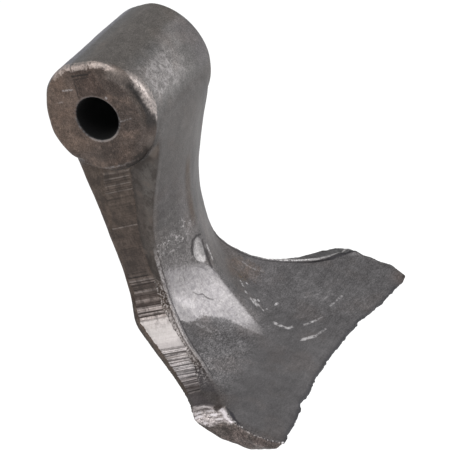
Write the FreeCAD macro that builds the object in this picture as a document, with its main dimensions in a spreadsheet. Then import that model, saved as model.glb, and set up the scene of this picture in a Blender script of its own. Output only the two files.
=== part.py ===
# Hammer (flail head) of a farm shredder: one closed-die forging.
#
# Model frame, millimetres: origin in the middle of the pivot bore, +X along
# the bore, +Z up away from the blade, -Y towards the hollow front face that
# meets the material.  The hammer hangs from its bore with the blade lowest.
#
# The forging is symmetric about the plane X = 0.  It is made of
#   a thick eye (barrel) round the bore, its two ends drafted from the trimmed
#   flash strip like a shallow roof,
#   a neck that leans back below the eye, with a convex rib on its front,
#   a wide hollow blade that sweeps forward from the heel to a cutting edge.
#
# The neck and blade are a loft through flat stations.  Each station
# stands on the line from the front corner edge to the back corner edge of the
# forging, and is as wide as the outline at that place.

import FreeCAD, Part
import math
import os

doc = FreeCAD.newDocument("shredder_hammer")
V = FreeCAD.Vector

# ---------------------------------------------------------------- sizes sheet
sheet = doc.addObject("Spreadsheet::Sheet", "Sizes")
row_at = [1]


def size(alias, value, note=""):
    r = row_at[0]
    sheet.set("A%d" % r, alias)
    sheet.set("B%d" % r, repr(float(value)))
    sheet.setAlias("B%d" % r, alias)
    if note:
        sheet.set("C%d" % r, note)
    row_at[0] = r + 1


size("bore_radius", 10.25, "clearance hole for a 20 mm pivot bolt")
size("bore_chamfer", 0.8, "broken edge of the bore")
size("eye_radius", 26.9, "outer radius of the eye")
size("eye_half_length", 33.5, "middle plane to the trimmed strip on the eye end")
size("eye_strip_half", 5.0, "half width of the trimmed strip on the eye end")
size("eye_draft_drop", 2.3, "how far the end falls back from strip to rim")
size("eye_rim_round", 2.6, "rounding of the eye rim")
size("top_flat_back", 3.5, "back limit of the trimmed flat on top of the eye")
size("top_flat_front", -7.8, "front limit of the trimmed flat on top of the eye")
size("edge_recess", 4.9, "hollow of the cutting edge in its middle")
size("edge_half_span", 74.0, "half length of the cutting edge")

# one row per station, from inside the eye down past the cutting edge:
# front corner y, z; back corner y, z; rise of the rib's crest over the corners;
# hollow of the face beside the rib; softness of the crest and of the rib's
# foot; crown of the back; half widths at the front corner, at the front and the
# back of the trimmed strip and at the back corner; half width of the rib foot;
# strip front and strip back as parts of the thickness; front and back rounding
STATIONS = [
    ( -25.80,    1.00,  26.20,    1.00,  0.20, 0.00, 24.0, 0.01, 0.00, 28.60, 29.20, 25.10, 24.20, 28.6, 0.30, 0.70, 2.4, 2.2),
    ( -25.00,   -8.00,  26.60,   -8.00,  0.80, 0.00, 22.0, 0.01, 0.00, 28.00, 28.60, 25.10, 24.20, 28.0, 0.40, 0.75, 2.4, 2.2),
    ( -21.40,  -18.50,  26.20,  -18.50,  2.60, 0.00, 20.0, 0.01, 0.00, 26.61, 27.21, 25.21, 24.31, 26.6, 0.42, 0.78, 2.4, 2.2),
    ( -14.00,  -30.50,  26.20,  -30.50,  4.00, 0.00, 18.0, 0.01, 0.00, 25.49, 26.09, 25.69, 24.89, 25.5, 0.40, 0.78, 2.4, 2.2),
    (  -7.00,  -41.50,  26.50,  -42.02,  5.50, 0.00, 16.0, 0.01, 0.00, 25.63, 26.23, 26.23, 25.33, 25.6, 0.36, 0.81, 2.4, 2.2),
    (  -0.80,  -52.00,  26.80,  -53.57,  6.80, 0.00, 14.0, 0.01, 0.00, 26.12, 26.72, 26.72, 25.82, 26.1, 0.33, 0.85, 2.4, 2.2),
    (   4.00,  -63.00,  27.19,  -65.62,  8.20, 0.00, 11.0, 0.01, 0.00, 26.57, 27.17, 27.17, 26.27, 26.6, 0.31, 0.90, 2.4, 2.2),
    (   6.60,  -74.00,  27.79,  -77.64,  9.10, 0.00,  8.0, 0.02, 0.00, 26.73, 27.33, 27.33, 26.43, 26.7, 0.28, 0.91, 2.4, 2.2),
    (   7.42,  -79.59,  28.43,  -83.61,  9.61, 0.00,  6.9, 0.03, 0.00, 26.90, 27.50, 27.50, 26.60, 26.6, 0.26, 0.91, 2.4, 2.2),
    (   7.90,  -85.00,  29.19,  -89.61,  9.90, 0.00,  6.0, 0.05, 0.00, 27.29, 27.91, 27.91, 27.01, 26.4, 0.25, 0.90, 2.4, 2.2),
    (   7.92,  -89.97,  29.79,  -95.59,  9.90, 0.03,  5.3, 0.07, 0.10, 28.16, 29.04, 29.50, 28.84, 26.0, 0.24, 0.89, 2.3, 2.3),
    (   7.40,  -94.50,  29.17, -101.21,  9.90, 0.10,  4.8, 0.10, 0.30, 29.61, 30.75, 32.75, 32.47, 25.4, 0.24, 0.88, 2.2, 2.4),
    (   6.28,  -98.72,  26.55, -106.18,  9.67, 0.25,  4.3, 0.13, 0.52, 31.65, 33.15, 35.59, 35.43, 24.6, 0.23, 0.87, 2.1, 2.4),
    (   4.60, -103.00,  22.44, -110.78,  9.20, 0.50,  4.0, 0.16, 0.80, 34.10, 35.75, 38.65, 38.59, 23.6, 0.22, 0.86, 2.0, 2.4),
    (   2.41, -107.58,  17.43, -115.21,  8.51, 0.84,  3.7, 0.19, 1.14, 36.93, 38.88, 42.64, 42.56, 22.5, 0.21, 0.87, 1.9, 2.3),
    (  -0.40, -112.00,  12.09, -119.22,  7.50, 1.30,  3.6, 0.22, 1.50, 40.16, 42.77, 47.50, 47.22, 21.2, 0.20, 0.88, 1.8, 2.2),
    (  -3.91, -115.80,   6.95, -122.59,  5.91, 1.91,  3.6, 0.24, 1.87, 43.67, 47.21, 52.51, 51.95, 19.7, 0.21, 0.89, 1.7, 2.0),
    (  -7.90, -119.30,   1.95, -125.44,  3.90, 2.60,  3.6, 0.26, 2.20, 47.61, 52.18, 57.88, 56.93, 18.0, 0.22, 0.90, 1.6, 1.8),
    ( -12.12, -122.88,  -3.21, -127.85,  1.59, 3.41,  3.7, 0.27, 2.46, 52.36, 58.83, 64.10, 62.51, 16.2, 0.25, 0.90, 1.5, 1.7),
    ( -16.60, -126.30,  -8.30, -130.09, -0.50, 3.90,  4.0, 0.28, 2.60, 57.97, 66.74, 71.21, 68.77, 14.5, 0.28, 0.90, 1.4, 1.6),
    ( -21.33, -129.30, -11.96, -133.18, -2.09, 3.90,  4.4, 0.29, 2.60, 64.30, 75.89, 77.04, 74.81, 13.1, 0.31, 0.89, 1.3, 1.6),
    ( -26.00, -132.20, -15.97, -136.44, -2.90, 3.90,  5.0, 0.30, 2.60, 71.60, 79.13, 78.90, 77.73, 12.0, 0.32, 0.88, 1.3, 1.6),
    ( -30.34, -135.38, -20.24, -140.27, -2.67, 3.29,  5.5, 0.30, 2.32, 76.18, 79.72, 79.65, 78.73, 11.3, 0.31, 0.87, 1.3, 1.6),
    ( -34.50, -138.80, -24.67, -144.48, -2.20, 2.30,  6.0, 0.30, 1.80, 77.96, 79.82, 79.46, 78.51, 11.0, 0.30, 0.85, 1.3, 1.6),
    ( -38.71, -142.31, -29.31, -148.72, -1.48, 1.45,  6.6, 0.30, 1.22, 78.49, 79.50, 78.20, 76.72, 11.0, 0.29, 0.82, 1.3, 1.6),
    ( -43.00, -145.80, -34.06, -152.96, -0.80, 0.80,  7.0, 0.30, 0.70, 78.00, 78.60, 75.49, 73.92, 11.0, 0.28, 0.80, 1.3, 1.6),
    ( -47.37, -149.19, -39.00, -157.07, -0.46, 0.46,  7.0, 0.30, 0.39, 76.24, 76.84, 72.82, 71.26, 11.0, 0.27, 0.80, 1.3, 1.6),
    ( -51.80, -152.40, -44.03, -161.02, -0.30, 0.30,  7.0, 0.30, 0.20, 74.14, 74.74, 70.30, 68.79, 11.0, 0.25, 0.80, 1.3, 1.6),
]
NAMES = ("front_y", "front_z", "back_y", "back_z", "rib_rise", "face_hollow",
         "crest_soft", "foot_soft", "back_crown", "width_front",
         "width_strip_front", "width_strip_back", "width_back",
         "rib_foot", "strip_start", "strip_end", "front_round", "back_round")
for i, st in enumerate(STATIONS):
    for name, value in zip(NAMES, st):
        size("st_%02d_%s" % (i, name), value)

# the rounded toe under the cutting edge, from the edge corner back to the
# under side of the blade (y, z)
TOE = [(-50.4, -151.7), (-46.8, -152.5), (-43.2, -152.9), (-38.2, -152.6),
       (-33.4, -151.2), (-28.6, -149.2), (-23.5, -147.2), (-18.0, -145.5)]
for i, (y, z) in enumerate(TOE):
    size("toe_%02d_y" % i, y)
    size("toe_%02d_z" % i, z)
doc.recompute()


def val(alias):
    return float(sheet.get(alias))


# ------------------------------------------------------ neck and blade (loft)
def station_wire(i):
    g = {n: val("st_%02d_%s" % (i, n)) for n in NAMES}
    f = V(0, g["front_y"], g["front_z"])
    b = V(0, g["back_y"], g["back_z"])
    span = b - f
    t = span.Length
    d = span * (1.0 / t)

    def at(x, u):
        return f + d * u + V(x, 0, 0)

    w = g["width_front"]
    ws1 = g["width_strip_front"]
    ws2 = g["width_strip_back"]
    wb = g["width_back"]
    u1 = g["strip_start"] * t
    u2 = g["strip_end"] * t
    rf = g["front_round"]
    rb = g["back_round"]
    h = g["rib_rise"]
    hollow = g["face_hollow"]
    soft = g["crest_soft"]
    foot = min(g["rib_foot"], w)
    blend = g["foot_soft"]

    def ridge(q):
        """1 on the crest, near 0 past the foot: straight slopes, soft top and foot."""
        c = soft / foot
        k = (math.sqrt(1.0 + c * c) - math.sqrt(q * q + c * c)) / (math.sqrt(1.0 + c * c) - c)
        return 0.5 * (k + math.sqrt(k * k + blend * blend))

    def face(a):
        dish = hollow * math.cos(0.5 * math.pi * min(1.0, a / w)) ** 2
        return dish - (h + hollow) * ridge(a / foot) / ridge(0.0)

    def front_u(x):
        a = abs(x)
        return face(a) - face(w) * (a / w) ** 3

    # front curve, corner to corner
    end = w - rf
    half = (0.0, 0.07, 0.15, 0.24, 0.34, 0.45, 0.56, 0.67, 0.78, 0.89, 1.0)
    qs = [-q for q in reversed(half[1:])] + list(half)
    pts = [at(end * q, front_u(end * q)) for q in qs]
    crv = Part.BSplineCurve()
    crv.interpolate(Points=pts, Parameters=[0.5 + 0.5 * q for q in qs])
    edges = [crv.toShape()]

    def bez(a, c, e):
        z = Part.BezierCurve()
        z.setPoles([a, c, e])
        return z.toBSpline().toShape()

    def line(a, e):
        return Part.LineSegment(a, e).toShape()

    # right side, front to back
    side = (at(ws1, u1) - at(w, 0.0))
    side.normalize()
    k1 = at(w, 0.0) + side * min(rf, 0.45 * u1)
    edges.append(bez(at(w - rf, front_u(w - rf)), at(w, 0.0), k1))
    edges.append(line(k1, at(ws1, u1)))
    edges.append(line(at(ws1, u1), at(ws2, u2)))
    back = (at(wb, t) - at(ws2, u2))
    bl = back.Length
    back.normalize()
    k2 = at(wb, t) - back * min(rb, 0.6 * bl)
    edges.append(line(at(ws2, u2), k2))
    edges.append(bez(k2, at(wb, t), at(wb - rb, t)))
    # back face, right to left
    crown = g["back_crown"]
    n = 6
    qs = [1.0 - float(k) / n for k in range(2 * n + 1)]
    pts = [at((wb - rb) * q, t + crown * (1.0 - q * q) ** 2) for q in qs]
    crv = Part.BSplineCurve()
    crv.interpolate(Points=pts, Parameters=[0.5 - 0.5 * q for q in qs])
    edges.append(crv.toShape())
    # left side, back to front
    def mir(p):
        return V(-p.x, p.y, p.z)

    edges.append(bez(at(-wb + rb, t), at(-wb, t), mir(k2)))
    edges.append(line(mir(k2), at(-ws2, u2)))
    edges.append(line(at(-ws2, u2), at(-ws1, u1)))
    edges.append(line(at(-ws1, u1), mir(k1)))
    edges.append(bez(mir(k1), at(-w, 0.0), at(-w + rf, front_u(w - rf))))
    return Part.Wire(edges)


wires = [station_wire(i) for i in range(len(STATIONS))]
loft = doc.addObject("Part::Feature", "NeckAndBlade")
loft.Shape = Part.makeLoft(wires, True, False, False, 5)

# ------------------------------------------------- cutting edge (keep region)
# The blade runs past its edge in the loft; this block keeps what lies above
# the toe curve.  The curve is drawn up in the middle to hollow the edge.
lift_y, lift_z = 0.55, 0.835


def toe_wire(x):
    span = val("edge_half_span")
    k = val("edge_recess") * (1.0 - (x / span) ** 2)
    pts = [V(x, val("toe_%02d_y" % i) + k * lift_y, val("toe_%02d_z" % i) + k * lift_z)
           for i in range(len(TOE))]
    crv = Part.BSplineCurve()
    crv.interpolate(pts)
    a, e = pts[0], pts[-1]
    far = [V(x, -8, -170), V(x, 70, -170), V(x, 70, 70), V(x, -120, 70),
           V(x, -120, a.z + 62)]
    edges = [crv.toShape()]
    last = e
    for p in far + [a]:
        edges.append(Part.LineSegment(last, p).toShape())
        last = p
    return Part.Wire(edges)


keep = doc.addObject("Part::Feature", "ToeKeep")
keep.Shape = Part.makeLoft([toe_wire(x) for x in (-90.0, -45.0, 0.0, 45.0, 90.0)],
                           True, False, False, 5)

blade = doc.addObject("Part::Common", "Blade")
blade.Base = loft
blade.Tool = keep

# ------------------------------------------------------------------------ eye
# A round barrel with soft rims, cut at each end by two shallow draft planes
# that leave the flat trimmed strip between them.
barrel = doc.addObject("Part::Cylinder", "EyeBarrel")
barrel.setExpression("Radius", "Sizes.eye_radius")
barrel.setExpression("Height", "2 * Sizes.eye_half_length")
barrel.Placement = FreeCAD.Placement(
    V(-val("eye_half_length"), 0, 0), FreeCAD.Rotation(V(0, 1, 0), 90))
doc.recompute()

eye_round = doc.addObject("Part::Fillet", "EyeRounded")
eye_round.Base = barrel
rim = []
for k, e in enumerate(barrel.Shape.Edges):
    if len(e.Vertexes) == 1 and e.BoundBox.XLength < 0.01:
        rim.append((k + 1, val("eye_rim_round"), val("eye_rim_round")))
eye_round.Edges = rim

roof_plan = doc.addObject("Part::Feature", "EyeRoofPlan")
L = val("eye_half_length")
s = val("eye_strip_half")
R = val("eye_radius") + 1.0
D = L - val("eye_draft_drop")
plan = [(L, -s), (L, s), (D, R), (-D, R), (-L, s), (-L, -s), (-D, -R), (D, -R)]
plan = [V(x, y, -40) for x, y in plan]
roof_plan.Shape = Part.Face(Part.makePolygon(plan + [plan[0]]))
roof = doc.addObject("Part::Extrusion", "EyeRoof")
roof.Base = roof_plan
roof.DirMode = "Custom"
roof.Dir = V(0, 0, 1)
roof.LengthFwd = 80.0
roof.Solid = True

drafted = doc.addObject("Part::Common", "EyeDrafted")
drafted.Base = eye_round
drafted.Tool = roof

# the trimmed strip runs on over the top of the eye as a shallow flat
top_plan = doc.addObject("Part::Feature", "TopFlatPlan")
yb_ = val("top_flat_back")
yf_ = val("top_flat_front")
re_ = val("eye_radius")
zb_ = math.sqrt(re_ * re_ - yb_ * yb_)
zf_ = math.sqrt(re_ * re_ - yf_ * yf_)
sl = (zb_ - zf_) / (yb_ - yf_)
prof = [(yf_ - 6.0, zf_ - 6.0 * sl), (yb_ + 6.0, zb_ + 6.0 * sl), (yb_ + 6.0, 40.0), (yf_ - 6.0, 40.0)]
prof = [V(-40, y, z) for y, z in prof]
top_plan.Shape = Part.Face(Part.makePolygon(prof + [prof[0]]))
top_block = doc.addObject("Part::Extrusion", "TopFlatBlock")
top_block.Base = top_plan
top_block.DirMode = "Custom"
top_block.Dir = V(1, 0, 0)
top_block.LengthFwd = 80.0
top_block.Solid = True

eye = doc.addObject("Part::Cut", "EyeTrimmed")
eye.Base = drafted
eye.Tool = top_block
doc.recompute()

# -------------------------------------------------------------------- joining
forging = doc.addObject("Part::Fuse", "Forging")
forging.Base = eye
forging.Tool = blade
doc.recompute()

# ----------------------------------------------------------------------- bore
hole = doc.addObject("Part::Cylinder", "Hole")
hole.setExpression("Radius", "Sizes.bore_radius")
hole.setExpression("Height", "2 * (Sizes.eye_half_length + 5)")
hole.Placement = FreeCAD.Placement(
    V(-(val("eye_half_length") + 5.0), 0, 0), FreeCAD.Rotation(V(0, 1, 0), 90))

cones = []
for name, sgn in (("HoleEdgeNear", -1), ("HoleEdgeFar", 1)):
    c = doc.addObject("Part::Cone", name)
    c.setExpression("Radius1", "Sizes.bore_radius")
    c.setExpression("Radius2", "Sizes.bore_radius + 2 * Sizes.bore_chamfer")
    c.setExpression("Height", "2 * Sizes.bore_chamfer")
    c.Placement = FreeCAD.Placement(
        V(sgn * (val("eye_half_length") - val("bore_chamfer")), 0, 0),
        FreeCAD.Rotation(V(0, 1, 0), 90 * sgn))
    cones.append(c)
drill = doc.addObject("Part::MultiFuse", "Drill")
drill.Shapes = [hole] + cones

hammer = doc.addObject("Part::Cut", "hammer")
hammer.Label = "hammer"
hammer.Base = forging
hammer.Tool = drill
doc.recompute()

# ---------------------------------------------------------------- check, save
for o in doc.Objects:
    if "Invalid" in o.State or "Error" in o.State:
        raise RuntimeError("object %s is not valid: %s" % (o.Name, o.State))
    if hasattr(o, "Shape"):
        if o.Shape.isNull() or not o.Shape.isValid():
            raise RuntimeError("shape of %s is null or not valid" % o.Name)

for name, o in (("loft", loft), ("keep", keep), ("blade", blade), ("eye", eye), ("forging", forging)):
    print(name, "volume cm3 %.2f" % (o.Shape.Volume / 1e3))
shape = hammer.Shape
if len(shape.Solids) != 1:
    raise RuntimeError("hammer must be one solid, found %d" % len(shape.Solids))
b = shape.BoundBox
print("hammer volume cm3 %.2f  mass kg %.3f" % (shape.Volume / 1e3, shape.Volume * 7.85e-6))
print("box x %.2f..%.2f y %.2f..%.2f z %.2f..%.2f" % (b.XMin, b.XMax, b.YMin, b.YMax, b.ZMin, b.ZMax))
print("faces %d edges %d" % (len(shape.Faces), len(shape.Edges)))

os.makedirs("parts", exist_ok=True)
shape.exportStep("parts/hammer.step")
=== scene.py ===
# Shredder hammer: the visible skin, its finish, the light and the camera.
# Lengths in the shaping code are millimetres in the row frame; Blender takes
# metres.  Row frame: origin in the middle of the pivot bore, +X along the
# bore, +Z up, -Y towards the hollow front face.
import bpy
import math
import numpy as np
from mathutils import Matrix, Vector
from mathutils.bvhtree import BVHTree


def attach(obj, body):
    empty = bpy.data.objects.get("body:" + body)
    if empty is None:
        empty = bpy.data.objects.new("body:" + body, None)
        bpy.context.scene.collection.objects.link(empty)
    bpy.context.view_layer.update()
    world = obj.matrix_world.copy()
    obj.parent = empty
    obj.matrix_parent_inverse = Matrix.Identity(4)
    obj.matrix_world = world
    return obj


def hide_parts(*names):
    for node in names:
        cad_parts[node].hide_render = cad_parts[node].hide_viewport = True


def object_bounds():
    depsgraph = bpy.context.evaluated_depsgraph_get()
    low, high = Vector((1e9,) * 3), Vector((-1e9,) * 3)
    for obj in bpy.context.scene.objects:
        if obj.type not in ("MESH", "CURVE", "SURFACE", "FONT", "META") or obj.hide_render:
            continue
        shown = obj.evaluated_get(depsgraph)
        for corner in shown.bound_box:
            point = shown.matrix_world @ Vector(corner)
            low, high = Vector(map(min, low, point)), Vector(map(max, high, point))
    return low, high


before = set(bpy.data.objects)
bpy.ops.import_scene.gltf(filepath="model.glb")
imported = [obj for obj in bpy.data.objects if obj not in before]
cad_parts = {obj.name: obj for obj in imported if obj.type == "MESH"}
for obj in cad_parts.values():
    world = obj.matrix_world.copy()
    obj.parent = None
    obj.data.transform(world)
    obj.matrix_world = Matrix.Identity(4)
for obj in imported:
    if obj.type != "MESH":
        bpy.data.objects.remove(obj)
cad_box = [list(c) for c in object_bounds()]
BOX_LO = np.array(cad_box[0]) * 1000.0
BOX_HI = np.array(cad_box[1]) * 1000.0


# ------------------------------------------------------------------ helpers
def hash3(ix, iy, iz, seed):
    h = (ix.astype(np.int64) * 374761393 + iy.astype(np.int64) * 668265263
         + iz.astype(np.int64) * 2147483647 + seed * 1274126177) & 0xFFFFFFFF
    h = ((h ^ (h >> 13)) * 1274126177) & 0xFFFFFFFF
    h = (h ^ (h >> 16)) & 0xFFFFFFFF
    return h.astype(np.float64) / 4294967295.0


def vnoise(p, scale, seed=0):
    """Smooth value noise of points p (n, 3) in mm with features of that size, -1 to 1."""
    q = p / scale
    i = np.floor(q).astype(np.int64)
    f = q - i
    f = f * f * f * (f * (f * 6 - 15) + 10)
    out = 0.0
    for dx in (0, 1):
        wx = f[:, 0] if dx else 1 - f[:, 0]
        for dy in (0, 1):
            wy = f[:, 1] if dy else 1 - f[:, 1]
            for dz in (0, 1):
                wz = f[:, 2] if dz else 1 - f[:, 2]
                out = out + wx * wy * wz * hash3(i[:, 0] + dx, i[:, 1] + dy, i[:, 2] + dz, seed)
    return out * 2 - 1


def smooth(a, b, x):
    t = np.clip((x - a) / (b - a), 0, 1)
    return t * t * (3 - 2 * t)


def curve_at(z, table):
    """Piecewise linear y(z) from rows of (z, y) with z falling."""
    t = np.array(table, float)[::-1]
    return np.interp(z, t[:, 0], t[:, 1])


def polyline_distance(P, line):
    """Distance in mm of points P to a polyline."""
    best = np.full(len(P), 1e9)
    line = np.array(line, float)
    for a, b in zip(line[:-1], line[1:]):
        ab = b - a
        t = np.clip(((P - a) @ ab) / (ab @ ab), 0, 1)
        best = np.minimum(best, np.linalg.norm(P - a - t[:, None] * ab, axis=1))
    return best


def inside(P2, poly):
    """Signed distance in mm to a polygon of the plane, positive inside."""
    poly = np.array(poly, float)
    best = np.full(len(P2), 1e9)
    odd = np.zeros(len(P2), bool)
    for a, b in zip(poly, np.roll(poly, -1, axis=0)):
        ab = b - a
        t = np.clip(((P2 - a) @ ab) / (ab @ ab), 0, 1)
        best = np.minimum(best, np.linalg.norm(P2 - a - t[:, None] * ab, axis=1))
        cross = (a[1] > P2[:, 1]) != (b[1] > P2[:, 1])
        dy = ab[1] if abs(ab[1]) > 1e-9 else 1e-9
        odd ^= cross & (P2[:, 0] < ab[0] * (P2[:, 1] - a[1]) / dy + a[0])
    return np.where(odd, best, -best)


# ------------------------------------------------- the skin: a finer mesh of
# the same shape, with the forging's unevenness worked in
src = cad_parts["hammer"]
base = src.data.copy()
tmp = bpy.data.objects.new("tmp_skin", base)
bpy.context.scene.collection.objects.link(tmp)
rm = tmp.modifiers.new("Remesh", "REMESH")
rm.mode = "VOXEL"
rm.voxel_size = 0.00085
rm.use_smooth_shade = True
dg = bpy.context.evaluated_depsgraph_get()
skin = bpy.data.meshes.new_from_object(tmp.evaluated_get(dg))
bpy.data.objects.remove(tmp)
skin.name = "hammer_skin"
n_skin = len(skin.vertices)


def get(me):
    n = len(me.vertices)
    co = np.empty(n * 3)
    me.vertices.foreach_get("co", co)
    no = np.empty(n * 3)
    me.vertices.foreach_get("normal", no)
    return co.reshape(-1, 3) * 1000.0, no.reshape(-1, 3)


def put(me, co):
    me.vertices.foreach_set("co", (co / 1000.0).ravel())
    me.update()


# settle the voxel steps, then lay every point back on the CAD surface
P, N = get(skin)
ne = len(skin.edges)
ed = np.empty(ne * 2, np.int64)
skin.edges.foreach_get("vertices", ed)
ed = ed.reshape(-1, 2)
deg = np.bincount(ed.ravel(), minlength=n_skin).astype(float)[:, None]


def relax(Q, amount):
    acc = np.zeros_like(Q)
    for k in range(3):
        acc[:, k] = np.bincount(ed[:, 0], Q[ed[:, 1], k], n_skin) + np.bincount(ed[:, 1], Q[ed[:, 0], k], n_skin)
    return Q + amount * (acc / np.maximum(deg, 1) - Q)


tree = BVHTree.FromObject(src, dg)
for step in range(2):
    P = relax(P, 0.6)
    for i in range(n_skin):
        hit = tree.find_nearest(Vector(P[i] / 1000.0))
        if hit[0] is not None:
            P[i] = np.array(hit[0]) * 1000.0
put(skin, P)
P, N = get(skin)
X, Y, Z = P[:, 0], P[:, 1], P[:, 2]
AX = np.abs(X)

# --------------------------------------------------- lines of the forging
# outline seen from the front: height, half width
OUT = [(27, 33.4), (-22, 33.4), (-27, 28), (-31, 26), (-46, 25.6), (-60, 26.4), (-77, 26.9),
       (-87, 27.6), (-91, 28.6), (-96, 30.5), (-100, 32.8), (-105, 36.2), (-110, 40), (-114, 44),
       (-117.4, 48.5), (-121.4, 54.5), (-124.8, 61), (-128.1, 69), (-130.5, 74.5), (-133, 77.8),
       (-136, 79.3), (-140, 79.8), (-146, 78.6), (-151, 75)]
OZ = np.array([a for a, b in OUT], float)
OX = np.array([b for a, b in OUT], float)
OL = np.concatenate([[0], np.cumsum(np.hypot(np.diff(OZ), np.diff(OX)))])


def outline_arc(P):
    """Length along the outline, in mm from its top, of the outline point nearest in X-Z."""
    x = np.abs(P[:, 0])
    z = P[:, 2]
    best = np.full(len(P), 1e9)
    arc = np.zeros(len(P))
    for k in range(len(OZ) - 1):
        ax, az = OX[k], OZ[k]
        bx, bz = OX[k + 1] - ax, OZ[k + 1] - az
        t = np.clip(((x - ax) * bx + (z - az) * bz) / (bx * bx + bz * bz), 0, 1)
        d = np.hypot(x - ax - t * bx, z - az - t * bz)
        m = d < best
        best[m] = d[m]
        arc[m] = OL[k] + t[m] * (OL[k + 1] - OL[k])
    return arc, best


# corner between the front face and the side, on the +X half
FRONT_EDGE = [(27.5, -25.0, -8.0), (26.1, -21.4, -18.5), (25.0, -14.0, -30.5), (25.1, -7.0, -41.5),
              (25.6, -0.8, -52.0), (26.1, 4.0, -63.0), (26.2, 6.6, -74.0), (26.4, 7.4, -79.6),
              (26.8, 7.9, -85.0), (27.7, 7.9, -90.0), (29.1, 7.4, -94.5), (31.1, 6.3, -98.7),
              (33.6, 4.6, -103.0), (36.4, 2.4, -107.6), (39.7, -0.4, -112.0), (43.2, -3.9, -115.8),
              (47.1, -7.9, -119.3), (51.9, -12.1, -122.9), (57.5, -16.6, -126.3), (63.8, -21.3, -129.3),
              (71.1, -26.0, -132.2), (75.7, -30.3, -135.4), (77.5, -34.5, -138.8), (78.0, -38.7, -142.3),
              (77.5, -43.0, -145.8), (75.7, -47.4, -149.2), (73.6, -51.8, -152.4)]
# trimmed strip on the sides: its back and front limits y at height z
STRIP_BACK = [(27, 3.2), (13, 4.0), (0, 5.0), (-15, 6.5), (-23.4, 7.8), (-26, 10.5), (-28.5, 14.5), (-37, 18),
              (-47, 20), (-56, 22.5), (-64, 23.8), (-73, 24.7), (-84, 25.8), (-92, 26.3), (-97.5, 26.4),
              (-101.7, 25.0), (-107, 21.2), (-112, 16.2), (-118, 9.2), (-122, 3.4), (-126, -3.6),
              (-129.4, -11.5), (-132.7, -15.6), (-136, -18.6), (-140, -24), (-144, -30), (-150, -40)]
STRIP_FRONT = [(27, -7.8), (8, -8.1), (0, -7.5), (-15, -5), (-25, -2.5), (-29.5, 0.4), (-35, 2.2), (-45, 4.8),
               (-56.6, 9.0), (-66.7, 11.2), (-75.5, 12.0), (-86, 12.9), (-90, 12.9), (-94, 12.6), (-98, 11.3),
               (-103, 8.7), (-108.6, 4.9), (-113, 1.3), (-117, -2.0), (-121.4, -6.6), (-126, -12.0),
               (-129, -18), (-131.7, -24), (-135.5, -29), (-140, -35.5), (-146, -42.5), (-150, -49)]

arc, dist = outline_arc(P)
M = P.copy()
M[:, 0] = AX
d_edge = polyline_distance(M, FRONT_EDGE)
is_side = smooth(0.42, 0.72, np.abs(N[:, 0]))
shoulder = smooth(-98, -112, Z) * smooth(6.5, 3.5, dist) * smooth(-0.62, -0.38, N[:, 1])
flank = np.maximum(is_side * smooth(9.0, 4.0, dist), shoulder)
under = smooth(-133, -136, Z) * smooth(-0.35, -0.05, N[:, 1] + 0.35 * (N[:, 2] > 0)) * smooth(72, 76, AX)
flank = np.maximum(flank, under)
yb = curve_at(Z, STRIP_BACK)
yf = curve_at(Z, STRIP_FRONT)
rag = 0.5 * vnoise(P, 2.1, 5) + 0.4 * vnoise(P, 5.0, 6)
into_strip = np.minimum(Y - yf, yb - Y)
strip = flank * smooth(-0.6, 0.6, into_strip + rag)
eye_r = np.hypot(Y, Z)
eye_t = np.degrees(np.arctan2(-Y, Z))          # 0 on top, 90 towards the front
in_eye = smooth(28.6, 27.2, eye_r) * smooth(-27.5, -26.0, Z)
flank = flank * (1 - in_eye)
strip = strip * (1 - in_eye)
bore = smooth(11.4, 10.9, eye_r)
face = in_eye * smooth(0.62, 0.86, np.abs(N[:, 0])) * smooth(28, 30.5, AX) * (1 - bore)
round_rim = smooth(24, 46, eye_t) * smooth(134, 116, eye_t) * smooth(22.2, 24.0, eye_r) * (X < 0)
face = face * (1 - round_rim)
barrel = in_eye * (1 - face) * (1 - bore)
neck_or_blade = 1 - np.maximum(in_eye, flank)
front = smooth(0.1, 0.4, -N[:, 1]) * (1 - in_eye) * (1 - flank)
back = smooth(0.1, 0.4, N[:, 1]) * (1 - in_eye) * (1 - flank)
# signed distance from the front corner line: minus on the face, plus on the side
fe = np.where(flank > 0.5, d_edge, -d_edge)
fe = np.where(Z > -20, 9.0, fe)

# outline of the smooth patch on the left slope of the rib (x, z): smoother metal, and lighter as a painted highlight
PATCH = [(-26.0, -79.5), (-26.8, -87.9), (-28.8, -96.0), (-33.1, -103.5), (-30.5, -106.8), (-25.1, -108.9),
         (-20.2, -109.6), (-16.3, -113.1), (-13.0, -117.2), (-11.3, -122.1), (-9.7, -126.3), (-8.3, -129.4),
         (-5.1, -127.9), (-3.7, -122.1), (-2.9, -116.2), (-1.6, -108.7), (-1.6, -101.8), (-1.6, -95.0),
         (-3.8, -90.3), (-10.4, -86.2), (-17.7, -82.7)]
XZ = P[:, [0, 2]]
patch = inside(XZ, PATCH)
patch = np.where(front > 0.25, patch, -8.0)
MOTTLE = [(-24.5, -60.0), (-13.0, -62.0), (-2.1, -68.0), (3.0, -79.0), (-2.0, -91.0), (-10.0, -92.0), (-27.0, -92.0),
          (-26.0, -74.0)]
mottle = np.where(front > 0.25, inside(XZ, MOTTLE), -8.0)
MIRROR = [(-x, z) for x, z in PATCH]
slope_r = np.where(front > 0.25, inside(XZ, MIRROR), -8.0)
RUST = [(20.1, -100.8), (31.0, -105.8), (35.3, -112.9), (33.0, -115.9), (25.3, -117.2), (16.4, -112.9),
        (9.6, -105.7), (11.3, -101.0)]
rust = np.where(front > 0.2, inside(XZ, RUST), -8.0)

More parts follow.
